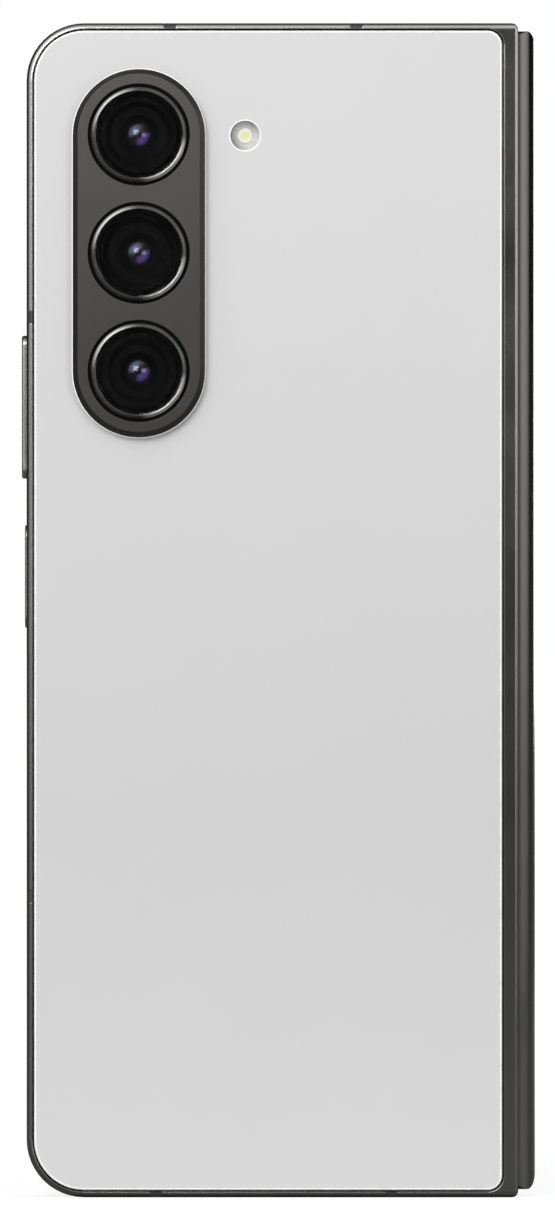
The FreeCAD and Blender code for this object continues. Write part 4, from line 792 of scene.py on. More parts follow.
@dataclass(frozen=True)
class DarkPanel(Finish):
    """A display that is switched off: a dark lattice of cells under a polished layer."""

    drift: float = 0.04
    roughness: float = 0.06
    grain_depth: float = 0.06
    relief: float = 0.05 * MM
    smudge_scale: float = 35.0
    smudge_dull: float = 0.05
    dust_dull: float = 0.25
    low: Pair = (-31.0 * MM, 3.0 * MM)
    high: Pair = (31.0 * MM, 152.0 * MM)
    border: Colour = (0.0015, 0.0015, 0.0016)
    mortar: Colour = (0.004, 0.0043, 0.005)
    cells: Point = (0.01 * MM, 0.07 * MM, 0.07 * MM)
    wave_scale: float = 25.0
    coat_roughness: float = 0.03

    def lay(self, skin: Skin) -> None:
        """Lays the lattice inside the border.

        Args:
            skin: the material's bench.
        """
        parts = skin.split(skin.place)
        colours = (*self.tones(self.drift), self.mortar)
        cells = skin.lattice(skin.place, colours, self.cells, offset=0.0)["Color"]
        inside: object = 1.0
        for name, low, high in zip("XZ", self.low, self.high):
            above = skin.maths("GREATER_THAN", parts[name], low)
            below = skin.maths("LESS_THAN", parts[name], high)
            inside = skin.times(inside, skin.times(above, below))
        skin.feed(Base_Color=skin.blend(inside, self.border, cells))
        skin.feed(Coat_Weight=1.0, Coat_Roughness=self.coat_roughness)
        touched = self.smudges(skin)
        marks = ((touched["Patches"], self.smudge_dull), (touched["Dust"], self.dust_dull))
        skin.roughen(self.roughness, *marks)
        self.bump(skin, skin.noise(skin.place, self.wave_scale, 1.0))


@dataclass(frozen=True)
class CircuitBoard(Finish):
    """Solder mask over copper traces, with bright pads."""

    drift: float = 0.25
    roughness: float = 0.42
    rough_spread: Pair = (0.0, -0.17)
    grain_depth: float = 0.4
    relief: float = 0.03 * MM
    traces: Point = (0.09 * MM, 1.9 * MM, 0.7 * MM)
    trace_tone: float = 1.7
    pad_colour: Colour = (0.75, 0.55, 0.2)
    pad_scale: float = 700.0
    pad_edge: Pair = (0.14, 0.17)

    def lay(self, skin: Skin) -> None:
        """Lays the traces and pads.

        Args:
            skin: the material's bench.
        """
        colours = (*self.tones(self.drift), tuple(c * self.trace_tone for c in self.colour))
        traces = skin.lattice(skin.place, colours, self.traces)
        pad = skin.spread(skin.cells(skin.place, self.pad_scale), *self.pad_edge, 1.0, 0.0)
        skin.feed(Base_Color=skin.blend(pad, traces["Color"], self.pad_colour), Metallic=pad)
        skin.roughen(self.dulled(skin, pad))
        self.bump(skin, skin.plus(traces["Fac"], pad))


@dataclass(frozen=True)
class FoilPouch(Finish):
    """A battery cell's laminated foil pouch with creases near its seams."""

    drift: float = 0.15
    roughness: float = 0.32
    rough_spread: Pair = (0.0, 0.1)
    lay_of_grain: Lay = Lay.ALONG_Z
    grain_scale: float = 5000.0
    grain_depth: float = 0.2
    relief: float = 0.06 * MM
    edge_colour: Colour = (0.8, 0.8, 0.8)
    edge_reach: float = 0.4 * MM
    edge_strength: float = 1.5
    crease_scale: float = 130.0
    crease: float = 0.06
    metal: float = 0.85

    def lay(self, skin: Skin) -> None:
        """Lays the foil's tone and creases.

        Args:
            skin: the material's bench.
        """
        crease = skin.cells(skin.place, self.crease_scale, feature="DISTANCE_TO_EDGE")
        tone = self.grain(skin)["Tone"]
        body = skin.blend(self.wear_and_highlight(skin), self.toned(skin, tone), self.edge_colour)
        skin.feed(Base_Color=body, Metallic=self.metal)
        skin.roughen(self.dulled(skin, tone))
        self.bump(skin, skin.spread(crease, 0.0, self.crease, 0.0, 1.0))


@dataclass(frozen=True)
class Phosphor(Finish):
    """The lamp's phosphor tile: a yellow gel with grains and a paler wall, both made to glow as
    painted light.
    """

    drift: float = 0.15
    roughness: float = 0.3
    rough_spread: Pair = (0.0, 0.25)
    grain_scale: float = 9000.0
    grain_depth: float = 0.3
    relief: float = 0.01 * MM
    wall_colour: Colour = (0.9, 0.9, 0.88)
    glow: float = 0.44
    half: float = 0.46 * MM
    wall_start: float = 1.1
    middle: Point = FLASH_CENTRE

    def lay(self, skin: Skin) -> None:
        """Lays the gel inside its wall.

        Args:
            skin: the material's bench.
        """
        away = skin.vector("ABSOLUTE", skin.vector("SUBTRACT", skin.place, self.middle))
        parts = skin.split(away)
        reach = skin.maths("MAXIMUM", parts["X"], parts["Z"])
        inside = skin.spread(reach, self.half, self.half * self.wall_start, 1.0, 0.0)
        grains = skin.cells(skin.place, self.grain_scale)
        dark, light = self.tones(self.drift)
        gel = skin.blend(grains, light, dark)
        skin.feed(Base_Color=skin.blend(inside, self.wall_colour, gel))
        # painted light: the gel and its wall glow
        skin.feed(Emission_Color=skin.blend(inside, self.wall_colour, light))
        skin.feed(Emission_Strength=self.glow)
        skin.roughen(self.dulled(skin, inside))
        self.bump(skin, grains)


# painted light and shade by height: the rail is darker low down and lighter toward the top
GRAPHITE = Metal(
    "graphite_rail", (0.3, 0.297, 0.288), roughness=0.14, grain_depth=0.008, soft_edge=0.3 * MM,
    painted_height_shade=PaintedHeightShade((0.75, 0.62, 1.5), (5.0 * MM, 40.0 * MM, 150.0 * MM)),
)
# the long reach lays painted shade on the spine beside the halves
SPINE_METAL = Metal(
    "spine_graphite", (0.2, 0.197, 0.19), roughness=0.15, lay_of_grain=Lay.ALONG_Z,
    grain_depth=0.06, edge_strength=1.0, recess_reach=1.6 * MM,
)
# painted light and shade by height: the island is darker at its foot and lighter toward its top
ISLAND_METAL = Metal(
    "island_graphite", (0.068, 0.066, 0.0645), roughness=0.4, grain_depth=0.06,
    edge_colour=(0.3, 0.3, 0.29), edge_strength=1.0,
    painted_height_shade=PaintedHeightShade((0.75, 0.95, 1.2), (100.0 * MM, 118.0 * MM, 145.0 * MM)),
)
# turning lays painted highlight arcs on the bezels
RING_METAL = Metal(
    "ring_graphite", (0.22, 0.22, 0.215), roughness=0.26, grain_depth=0.04, edge_strength=0.4,
    recess_reach=0.2 * MM, turning=Turning(),
)
KEY_METAL = Metal(
    "key_graphite", (0.36, 0.36, 0.353), roughness=0.24, lay_of_grain=Lay.ALONG_Z, grain_depth=0.04
)
STEEL = Metal(
    "bright_steel", (0.56, 0.55, 0.53), roughness=0.27, lay_of_grain=Lay.ALONG_X, grain_depth=0.1
)
GILT = Metal(
    "gilt_contact", (0.85, 0.62, 0.28), roughness=0.2, grain_depth=0.03, edge_colour=(0.9, 0.8, 0.6)
)
COPPER = Metal(
    "lacquered_copper", (0.7, 0.32, 0.17), roughness=0.28, edge_colour=(0.9, 0.6, 0.4)
)
# the bowl's glow is painted light, and its turning lays painted shade on one side of its wall
BOWL = Moulding(
    "white_bowl", (0.9, 0.9, 0.9), roughness=0.25, grain_depth=0.05, specular=0.5, glow=0.26,
    turning=Turning(FLASH_CENTRE, 1.0, (-0.766, 0.643, 0.0)),
)
BLACK_PLASTIC = Moulding("black_moulding", (0.003, 0.003, 0.0032), specular=0.25)
BARREL_PLASTIC = Moulding(
    "barrel_moulding", (0.0012, 0.0012, 0.0013), grain_depth=0.1, specular=0.1
)
BAFFLE = Moulding(
    "matt_baffle", (0.001, 0.001, 0.0011), roughness=0.6, grain_depth=0.1, specular=0.08
)
BREAK_PLASTIC = Moulding("antenna_break", (0.04, 0.04, 0.039), roughness=0.4, specular=0.5)
LIP_RUBBER = Moulding("lip_rubber", (0.02, 0.02, 0.021), roughness=0.6)
CARD_PLASTIC = Moulding("card_moulding", (0.75, 0.76, 0.78), roughness=0.45)
CHIP_RESIN = Moulding("chip_resin", (0.03, 0.03, 0.032))
INK = Moulding(
    "black_ink", (0.0015, 0.0015, 0.0016), roughness=0.6, grain_depth=0.01, specular=0.1
)
BACK_GLASS = FrostedGlass("frosted_back", (0.807, 0.807, 0.807))
CLEAR_GLASS = ClearGlass("clear_glass", (0.97, 0.98, 0.98))
FRONT_GLASS = ClearGlass("front_glass", (0.96, 0.97, 0.98), roughness=0.01)
LAMP_GLASS = ClearGlass("lamp_glass", (0.98, 0.98, 0.97), roughness=0.08)
LENS_COAT = CoatedGlass("lens_coat", (0.1, 0.125, 0.24))
PANEL = DarkPanel("inner_panel", (0.006, 0.0065, 0.008))
COVER_PANEL = DarkPanel(
    "cover_panel", (0.006, 0.0065, 0.008), low=(-30.5 * MM, 4.9 * MM), high=(23.8 * MM, 150.0 * MM)
)
BOARD = CircuitBoard("solder_mask", (0.006, 0.03, 0.02))
POUCH = FoilPouch("foil_pouch", (0.3, 0.3, 0.31))
PHOSPHOR = Phosphor("phosphor", (0.88, 0.87, 0.34))


# ------------------------------------------------------------------ making pieces
class Body(Enum):
    """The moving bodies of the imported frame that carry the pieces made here."""

    REAR = "rear_half"
    SPINE = "spine"
    COVER = "cover_half"


def dress(finish: Finish, *nodes: str) -> None:
    """Gives CAD nodes a finish.

    Args:
        finish: the finish to wear.
        nodes: the nodes' names.
    """
    for name in nodes:
        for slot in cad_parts[name].material_slots:
            slot.material = finish.material()


def new_piece(
    name: str, mesh: bpy.types.Mesh, finish: Finish, body: Body | None, smooth: bool = False
) -> bpy.types.Object:
    """Makes a finished piece from a mesh whose points are in place.

    Args:
        name: the piece's name.
        mesh: its mesh, in the frame's coordinates.
        finish: the finish it wears.
        body: the body it rides on, or None where it bends between two.
        smooth: whether its faces shade smoothly.

    Returns:
        The piece.
    """
    mesh.name = name
    mesh.materials.clear()
    mesh.materials.append(finish.material())
    if smooth:
        mesh.shade_smooth()
    else:
        mesh.shade_flat()
    piece = bpy.data.objects.new(name, mesh)
    bpy.context.scene.collection.objects.link(piece)
    if body is not None:
        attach(piece, body.value)
    LOG.info("%s: %d faces, %s", name, len(mesh.polygons), finish.name)
    return piece


def closed_mesh(work: bmesh.types.BMesh) -> bpy.types.Mesh:
    """Merges a bmesh's doubles, turns its faces outward and makes it a mesh.

    Args:
        work: the bmesh, which is freed.

    Returns:
        The mesh.
    """
    bmesh.ops.remove_doubles(work, verts=work.verts, dist=1e-8)
    bmesh.ops.recalc_face_normals(work, faces=work.faces)
    mesh = bpy.data.meshes.new("piece")
    work.to_mesh(mesh)
    work.free()
    return mesh


def turned(profile: Outline, centre: Pair, steps: int = 96) -> bpy.types.Mesh:
    """Turns a profile about an axis along y.

    Args:
        profile: (radius, depth) points of a closed outline, or of one that ends on the axis.
        centre: the axis's x and z.
        steps: how many divisions go round.

    Returns:
        The turned mesh.
    """
    work = bmesh.new()
    rings = []
    for radius, depth in profile:
        turns = [math.tau * k / steps for k in range(steps)] if radius > 0 else [0.0]
        flat = [(centre[0] + radius * math.cos(a), centre[1] + radius * math.sin(a)) for a in turns]
        rings.append([work.verts.new((x, depth, z)) for x, z in flat])
    closed = profile[0][0] > 0
    for first, second in zip(rings, rings[1:] + (rings[:1] if closed else [])):
        for k in range(steps if len(first) + len(second) > 2 else 0):
            edges = ((first, k), (first, k + 1), (second, k + 1), (second, k))
            corners = [ring[j % len(ring)] for ring, j in edges]
            work.faces.new(list(dict.fromkeys(corners)))
    return closed_mesh(work)


def rounded_loop(low: Pair, high: Pair, radii: Pair, steps: int = 12) -> Outline:
    """A rounded rectangle's outline in x and z.

    Args:
        low: its lowest x and z.
        high: its highest x and z.
        radii: its corner radii on the high and the low side of x.
        steps: divisions in each corner.

    Returns:
        Its points, counter-clockwise.
    """
    near, far = radii
    corners = (
        (high[0] - near, high[1] - near, near), (low[0] + far, high[1] - far, far),
        (low[0] + far, low[1] + far, far), (high[0] - near, low[1] + near, near),
    )
    points = []
    for quarter, (x, z, radius) in enumerate(corners):
        turns = [(quarter + k / steps) * QUARTER_TURN for k in range(steps + 1)]
        points += [(x + radius * math.cos(a), z + radius * math.sin(a)) for a in turns]
    return points


def glass_loop(grow: float) -> Outline:
    """The outline of either outer glass, grown by an allowance.

    Args:
        grow: how far outside the glass's edge it runs.

    Returns:
        Its points, counter-clockwise.
    """
    low = (-32.245 * MM - grow, 1.0 * MM - grow)
    high = (29.465 * MM + grow, 153.9 * MM + grow)
    return rounded_loop(low, high, (1.9 * MM + grow, 6.6 * MM + grow))


def band(outer: Outline, inner: Outline, depth: Pair) -> bpy.types.Mesh:
    """A flat band between two outlines, with thickness along y.

    Args:
        outer: the outer outline.
        inner: the inner outline, of as many points.
        depth: its lower and higher y.

    Returns:
        The band's mesh.
    """
    work = bmesh.new()
    sides = zip((outer, outer, inner, inner), (*depth, *reversed(depth)))
    loops = [[work.verts.new((x, y, z)) for x, z in outline] for outline, y in sides]
    for first, second in zip(loops, loops[1:] + loops[:1]):
        for k in range(len(outer)):
            after = (k + 1) % len(outer)
            work.faces.new((first[k], first[after], second[after], second[k]))
    return closed_mesh(work)


# ------------------------------------------------------------------ grown pieces
class ShapeBench(NodeBench):
    """A bench for the trees that grow shapes."""

    def row(self, count: object, start: object, step: object) -> Socket:
        """A row of points, each a step from the last."""
        inputs = {"Count": count, "Start Location": start, "Offset": step}
        return self.get("GeometryNodeMeshLine", inputs, mode="OFFSET")

    def circle(self, steps: object, radius: object) -> Socket:
        """A round curve."""
        return self.get("GeometryNodeCurvePrimitiveCircle", {"Resolution": steps, "Radius": radius})

    def straight(self, start: Socket, end: Socket) -> Socket:
        """A straight curve."""
        return self.get("GeometryNodeCurvePrimitiveLine", {"Start": start, "End": end})

    def eased(self, curve: Socket, radius: Socket, steps: int) -> Socket:
        """A curve whose corners are rounded."""
        inputs = {"Curve": curve, "Radius": radius, "Limit Radius": True, "Count": steps}
        return self.get("GeometryNodeFilletCurve", inputs, mode="POLY")

    def swept(self, curve: Socket, profile: Socket, capped: bool = False) -> Socket:
        """A profile swept along a curve."""
        inputs = {"Curve": curve, "Profile Curve": profile, "Fill Caps": capped}
        return self.get("GeometryNodeCurveToMesh", inputs)

    def copies(self, points: Socket, thing: Socket, **more: object) -> Socket:
        """A thing set on each point."""
        inputs = {"Points": points, "Instance": thing} | more
        return self.get("GeometryNodeInstanceOnPoints", inputs)

    def realized(self, shape: Socket) -> Socket:
        """A shape whose copies are made real."""
        return self.get("GeometryNodeRealizeInstances", {"Geometry": shape})

    def moved(self, shape: Socket, **move: object) -> Socket:
        """A shape with a Translation, a Rotation or both."""
        return self.get("GeometryNodeTransform", {"Geometry": shape} | move)

    def reshaped(self, shape: Socket, **move: Socket) -> Socket:
        """A shape whose points take a new Position or an Offset."""
        return self.get("GeometryNodeSetPosition", {"Geometry": shape} | move)

    def joined(self, *shapes: Socket) -> Socket:
        """Puts shapes together.

        Args:
            shapes: the shapes.

        Returns:
            The whole.
        """
        node = self.put("GeometryNodeJoinGeometry")
        for shape in shapes:
            self.tree.links.new(shape, node.inputs[0])
        return node.outputs[0]


@dataclass(frozen=True)
class GrownShape(Recipe):
    """A Geometry Nodes tree with named inputs, baked to a plain mesh."""

    kind: str = "GeometryNodeTree"
    vectors: Names = ("Centre", "Turn")

    def sockets(self) -> list[tuple[str, str, str]]:
        """What goes in and out, with the material and the shape."""
        return super().sockets() + [("Material", "INPUT", MATERIAL), ("Shape", "OUTPUT", SHAPE)]

    def grow(self, bench: ShapeBench, given: Outputs) -> Socket:
        """Lays the nodes that grow the shape.

        Args:
            bench: the tree's bench.
            given: its inputs.

        Returns:
            The shape.
        """
        raise NotImplementedError

    def lay(self, bench: NodeBench, given: Outputs) -> tuple[Socket, ...]:
        """Makes what the shape grows real and gives it its material.

        Args:
            bench: the tree's bench.
            given: its inputs.

        Returns:
            The finished shape.
        """
        shop = ShapeBench(bench.tree)
        real = shop.realized(self.grow(shop, given))
        inputs = {"Geometry": real, "Material": given["Material"]}
        return (shop.get("GeometryNodeSetMaterial", inputs),)

    def bake(self, finish: Finish, **values: object) -> bpy.types.Mesh:
        """Grows the shape and makes it a plain mesh.

        Args:
            finish: the finish it wears.
            values: the tree's inputs, with _ for a space in a name.

        Returns:
            The mesh.
        """
        host = bpy.data.objects.new("host", bpy.data.meshes.new("host"))
        bpy.context.scene.collection.objects.link(host)
        grower = host.modifiers.new(self.name, "NODES")
        grower.node_group = self.tree()
        named = {name.replace("_", " "): value for name, value in values.items()}
        named["Material"] = finish.material()
        for item in grower.node_group.interface.items_tree:
            if item.in_out == "INPUT":
                grower[item.identifier] = named[item.name]
        seen = host.evaluated_get(bpy.context.evaluated_depsgraph_get())
        mesh = bpy.data.meshes.new_from_object(seen)
        bpy.data.objects.remove(host)
        work = bmesh.new()
        work.from_mesh(mesh)
        return closed_mesh(work)


@dataclass(frozen=True)
class RidgeRings(GrownShape):
    """Round ridges, one outside another, across a lens."""

    name: str = "ridge_rings"
    numbers: Names = ("First Radius", "Radius Step", "Ridge Radius")
    counts: Names = ("Count",)
    vectors: Names = ("Centre",)
    ring_steps: int = 96
    ridge_sides: int = 6

    def grow(self, bench: ShapeBench, given: Outputs) -> Socket:
        """Sets circles of growing size on one centre and sweeps a small round along them.

        Args:
            bench: the tree's bench.
            given: its inputs.

        Returns:
            The ridges.
        """
        spots = bench.row(given["Count"], given["Centre"], (0.0, 0.0, 0.0))
        number = bench.get("GeometryNodeInputIndex")
        radius = bench.maths("MULTIPLY_ADD", number, given["Radius Step"], given["First Radius"])
        scale = bench.point(radius, radius, radius)
        round_line = bench.circle(self.ring_steps, 1.0)
        rings = bench.copies(spots, round_line, Rotation=UPRIGHT, Scale=scale)
        ridge = bench.circle(self.ridge_sides, given["Ridge Radius"])
        return bench.swept(bench.realized(rings), ridge)


@dataclass(frozen=True)
class SweptRings(GrownShape):
    """Equal rings in a row along z, each a rounded bar swept round a circle."""

    name: str = "swept_rings"
    numbers: Names = ("Pitch", "Inner Radius", "Outer Radius", "Front", "Back", "Slope", "Rounding")
    counts: Names = ("Count",)
    vectors: Names = ("Centre",)
    ring_steps: int = 128
    corner_steps: int = 5

    def grow(self, bench: ShapeBench, given: Outputs) -> Socket:
        """Draws the bar's section, rounds it, sweeps it round a circle and repeats the ring.

        Args:
            bench: the tree's bench.
            given: its inputs.

        Returns:
            The rings.
        """
        inner, outer, back = given["Inner Radius"], given["Outer Radius"], given["Back"]
        half = bench.times(bench.minus(outer, inner), 0.5)
        middle = bench.times(bench.plus(outer, inner), 0.5)
        less = bench.times(half, -1.0)
        sloped = bench.plus(given["Front"], given["Slope"])
        section = ((half, back), (half, given["Front"]), (less, sloped), (less, back))
        corners = {f"Point {k}": bench.point(*spot) for k, spot in enumerate(section, 1)}
        bar = bench.get("GeometryNodeCurvePrimitiveQuadrilateral", corners, mode="POINTS")
        bar = bench.eased(bar, given["Rounding"], self.corner_steps)
        ring = bench.swept(bench.circle(self.ring_steps, middle), bar)
        ring = bench.moved(ring, Rotation=UPRIGHT)
        spots = bench.row(given["Count"], given["Centre"], bench.point(z=given["Pitch"]))
        return bench.copies(spots, ring)


@dataclass(frozen=True)
class WovenWire(GrownShape):
    """A woven wire mesh in a rectangle: fine wires in two directions, over and under."""

    name: str = "woven_wire"
    numbers: Names = ("Width", "Height", "Pitch", "Wire Radius")
    wire_sides: int = 5

    def runs(self, bench: ShapeBench, given: Outputs, along: str, across: str) -> Socket:
        """Lays the wires of one direction, waved as they cross the others.

        Args:
            bench: the tree's bench.
            given: its inputs.
            along: the side that the wires run along.
            across: the side that they fill.

        Returns:
            The wires, along x.
        """
        pitch = given["Pitch"]
        count = bench.maths("FLOOR", bench.over(given[across], pitch))
        first = bench.times(bench.minus(count, 1.0), bench.times(pitch, -0.5))
        spots = bench.row(count, bench.point(y=first), bench.point(y=pitch))
        low, high = (bench.point(bench.times(given[along], share)) for share in (-0.5, 0.5))
        crossings = bench.times(bench.over(given[along], pitch), 2.0)
        inputs = {"Curve": bench.straight(low, high), "Count": crossings}
        wire = bench.get("GeometryNodeResampleCurve", inputs)
        laid = bench.realized(bench.copies(spots, wire))
        spot = bench.split(bench.get("GeometryNodeInputPosition"))
        turns = [bench.times(bench.over(spot[name], pitch), math.pi) for name in "XY"]
        wave = bench.times(*(bench.maths("COSINE", turn) for turn in turns))
        lift = bench.times(wave, given["Wire Radius"])
        if along == "Height":
            lift = bench.times(lift, -1.0)
        return bench.reshaped(laid, Offset=bench.point(z=lift))

    def grow(self, bench: ShapeBench, given: Outputs) -> Socket:
        """Lays runs of wire across each other and gives them their thickness.

        Args:
            bench: the tree's bench.
            given: its inputs.

        Returns:
            The mesh of wires.
        """
        level = self.runs(bench, given, "Width", "Height")
        upright = self.runs(bench, given, "Height", "Width")
        level, upright = (
            bench.moved(run, Rotation=(0.0, 0.0, turn))
            for run, turn in ((level, 0.0), (upright, QUARTER_TURN))
        )
        section = bench.circle(self.wire_sides, given["Wire Radius"])
        wires = bench.swept(bench.joined(upright, level), section, capped=True)
        return bench.moved(wires, Translation=given["Centre"], Rotation=given["Turn"])


@dataclass(frozen=True)
class FoldingSkin(GrownShape):
    """The display's bending strip: it follows one half, turns with the fold, then the spine."""

    name: str = "folding_skin"
    numbers: Names = (
        "Top", "Under", "Top Start", "Top End", "Under Start", "Under End", "Side", "Height"
    )
    counts: Names = ("Points",)
    vectors: Names = ("Blend Start", "Blend Run", "Axis")

    def folded(self, bench: ShapeBench, given: Outputs, share: Socket, height: Socket) -> Socket:
        """Finds where a point of the open strip lies when the phone is shut.

        Args:
            bench: the tree's bench.
            given: its inputs.
            share: how far along the blend the point lies.
            height: its height above the axis.

        Returns:
            Its place, from the axis.
        """
        held = bench.maths("ADD", share, 0.0, clamp=True)
        eased = bench.times(bench.times(held, held), bench.maths("MULTIPLY_ADD", held, -2.0, 3.0))
        angle = bench.times(eased, QUARTER_TURN)
        cosine, sine = bench.maths("COSINE", angle), bench.maths("SINE", angle)
        run = bench.split(given["Blend Run"])
        start_along = bench.vector("DOT_PRODUCT", given["Blend Start"], given["Blend Run"])
        run_squared = bench.vector("DOT_PRODUCT", given["Blend Run"], given["Blend Run"])
        reach = bench.maths("MULTIPLY_ADD", share, run_squared, start_along)
        rise = bench.minus(bench.times(cosine, run["Y"]), bench.times(sine, run["X"]))
        slope = bench.plus(bench.times(cosine, run["X"]), bench.times(sine, run["Y"]))
        open_x = bench.over(bench.minus(reach, bench.times(height, rise)), slope)
        x = bench.minus(bench.times(open_x, cosine), bench.times(height, sine))
        y = bench.plus(bench.times(open_x, sine), bench.times(height, cosine))
        return bench.point(x, bench.times(y, given["Side"]))

    def grow(self, bench: ShapeBench, given: Outputs) -> Socket:
        """Shapes a closed outline by the fold's rule, fills it and raises it along z.

        Args:
            bench: the tree's bench.
            given: its inputs.

        Returns:
            The strip.
        """
        loop = bench.circle(bench.times(given["Points"], 2.0), 1.0)
        number = bench.get("GeometryNodeInputIndex")
        last = bench.minus(given["Points"], 1.0)
        back = bench.minus(bench.plus(given["Points"], last), number)
        under = bench.maths("GREATER_THAN", number, last)

        def either(first: object, second: object) -> Socket:
            """The first value on the top side, the second on the underside."""
            return bench.get("ShaderNodeMix", {0: under, 2: first, 3: second})

        along = bench.over(either(number, back), last)
        height = either(given["Top"], given["Under"])
        begin = either(given["Top Start"], given["Under Start"])
        end = either(given["Top End"], given["Under End"])
        share = bench.maths("MULTIPLY_ADD", along, bench.minus(end, begin), begin)
        spot = bench.vector("ADD", self.folded(bench, given, share, height), given["Axis"])
        outline = {"Curve": bench.reshaped(loop, Position=spot)}
        face = bench.get("GeometryNodeFillCurve", outline, mode="NGONS")
        inputs = {"Mesh": face, "Offset": bench.point(z=given["Height"])}
        raised = bench.get("GeometryNodeExtrudeMesh", inputs, mode="FACES")
        foot = bench.point(z=bench.split(given["Axis"])["Z"])
        return bench.moved(bench.joined(raised, face), Translation=foot)


@dataclass(frozen=True)
class PartRow(GrownShape):
    """Small rounded blocks in a grid, some left out and some smaller, from a fixed seed."""

    name: str = "part_row"
    numbers: Names = ("Width", "Height", "Long", "Wide", "Thick", "Rounding", "Keep", "Vary")
    counts: Names = ("Columns", "Rows", "Seed")
    corner_steps: int = 3

    def grow(self, bench: ShapeBench, given: Outputs) -> Socket:
        """Sets a round-cornered block on the points of a grid.

        Args:
            bench: the tree's bench.
            given: its inputs.

        Returns:
            The blocks.
        """
        inputs = {"Size X": given["Width"], "Size Y": given["Height"]}
        inputs |= {"Vertices X": given["Columns"], "Vertices Y": given["Rows"]}
        grid = bench.get("GeometryNodeMeshGrid", inputs)
        inputs = {"Width": given["Long"], "Height": given["Wide"]}
        outline = bench.get("GeometryNodeCurvePrimitiveQuadrilateral", inputs)
        outline = bench.eased(outline, given["Rounding"], self.corner_steps)
        half = bench.times(given["Thick"], 0.5)
        post = bench.straight(bench.point(z=bench.times(half, -1.0)), bench.point(z=half))
        block = bench.swept(post, outline, capped=True)
        random, seed = "FunctionNodeRandomValue", given["Seed"]
        drawn = bench.put(random, {"Seed": seed}, data_type="FLOAT").outputs[1]
        kept = bench.maths("LESS_THAN", drawn, given["Keep"])
        least = bench.minus(1.0, given["Vary"])
        inputs = {"Min": bench.point(least, least, least), "Max": (1.0, 1.0, 1.0)}
        inputs["Seed"] = bench.plus(seed, 1.0)
        scale = bench.get(random, inputs, data_type="FLOAT_VECTOR")
        laid = bench.copies(grid, block, Selection=kept, Scale=scale)
        return bench.moved(laid, Translation=given["Centre"], Rotation=given["Turn"])


RIDGES, RINGS, WIRES, BLOCKS = RidgeRings(), SweptRings(), WovenWire(), PartRow()
FOLDING_SKIN = FoldingSkin()


# ------------------------------------------------------------------ sub-assemblies
@dataclass
class Shell:
    """Both frames, their antenna breaks, the back glass, the gaskets and the rubber lips."""

    gasket_gap: float = 0.01 * MM
    gasket_width: float = 0.2 * MM
    rear_gasket_shade: Pair = (-5.53 * MM, -5.23 * MM)
    cover_gasket_shade: Pair = (7.48 * MM, 7.78 * MM)

    def build(self) -> None:
        """Dresses the outer parts and lays a black gasket in the groove round each outer glass, its
        black partly painted shade of the groove.
        """
        dress(GRAPHITE, "rear_frame", "cover_frame", "sim_tray")
        dress(BREAK_PLASTIC, "rear_antenna_breaks", "cover_antenna_breaks")
        dress(BACK_GLASS, "back_glass")
        dress(LIP_RUBBER, "rear_lip", "cover_lip")
        dress(KEY_METAL, "volume_key", "side_key")
        outer = glass_loop(self.gasket_gap + self.gasket_width)
        inner = glass_loop(self.gasket_gap)
        # black gaskets in the grooves: partly a real part, partly painted shade of the grooves
        new_piece("rear_gasket_shade", band(outer, inner, self.rear_gasket_shade), BAFFLE, Body.REAR)
        new_piece("cover_gasket_shade", band(outer, inner, self.cover_gasket_shade), BAFFLE, Body.COVER)


@dataclass
class Cameras:
    """The camera island with its bezels, ledges, gaskets, barrels and coated elements."""

    lowest: Point = LOWEST_LENS
    pitch: float = LENS_PITCH
    count: int = 3
    bezel: Pair = (5.765 * MM, 6.3 * MM)
    bezel_depth: Pair = (-7.625 * MM, -5.98 * MM)
    bezel_slope: float = -0.2 * MM
    bezel_rounding: float = 0.1 * MM
    ledge: Pair = (5.17 * MM, 5.78 * MM)
    ledge_depth: Pair = (-7.12 * MM, -5.98 * MM)
    ledge_rounding: float = 0.03 * MM
    gasket: Pair = (6.29 * MM, 6.72 * MM)
    gasket_depth: Pair = (-7.12 * MM, -6.88 * MM)
    gasket_rounding: float = 0.08 * MM

    def swept(
        self, name: str, finish: Finish, radii: Pair, depth: Pair, rounding: float,
        slope: float = 0.0,
    ) -> bpy.types.Object:
        """Sweeps one ring for each lens.

        Args:
            name: the piece's name.
            finish: the finish it wears.
            radii: its inner and outer radius.
            depth: its front and back along y.
            rounding: how round its edges are.
            slope: how much lower the front is on the inside.

        Returns:
            The piece.
        """
        mesh = RINGS.bake(
            finish, Inner_Radius=radii[0], Outer_Radius=radii[1], Front=depth[0], Back=depth[1],
            Slope=slope, Rounding=rounding, Count=self.count, Pitch=self.pitch, Centre=self.lowest,
        )
        return new_piece(name, mesh, finish, Body.REAR, smooth=True)

    def build(self) -> None:
        """Dresses the island, and sweeps the bezels, the ledges and the gaskets."""
        dress(ISLAND_METAL, "camera_island")
        dress(CLEAR_GLASS, "cover_lenses")
        dress(BARREL_PLASTIC, "wide_camera", "ultrawide_camera", "telephoto_camera")
        dress(LENS_COAT, "lens_elements")
        rings = self.swept(
            "lens_bezels", RING_METAL, self.bezel, self.bezel_depth, self.bezel_rounding,
            self.bezel_slope,
        )
        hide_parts("lens_rings")
        self.swept("lens_ledges", BAFFLE, self.ledge, self.ledge_depth, self.ledge_rounding)
        # the black gaskets partly stand in for the grooves' shade as painted shade
        self.swept("lens_gasket_shades", BAFFLE, self.gasket, self.gasket_depth, self.gasket_rounding)


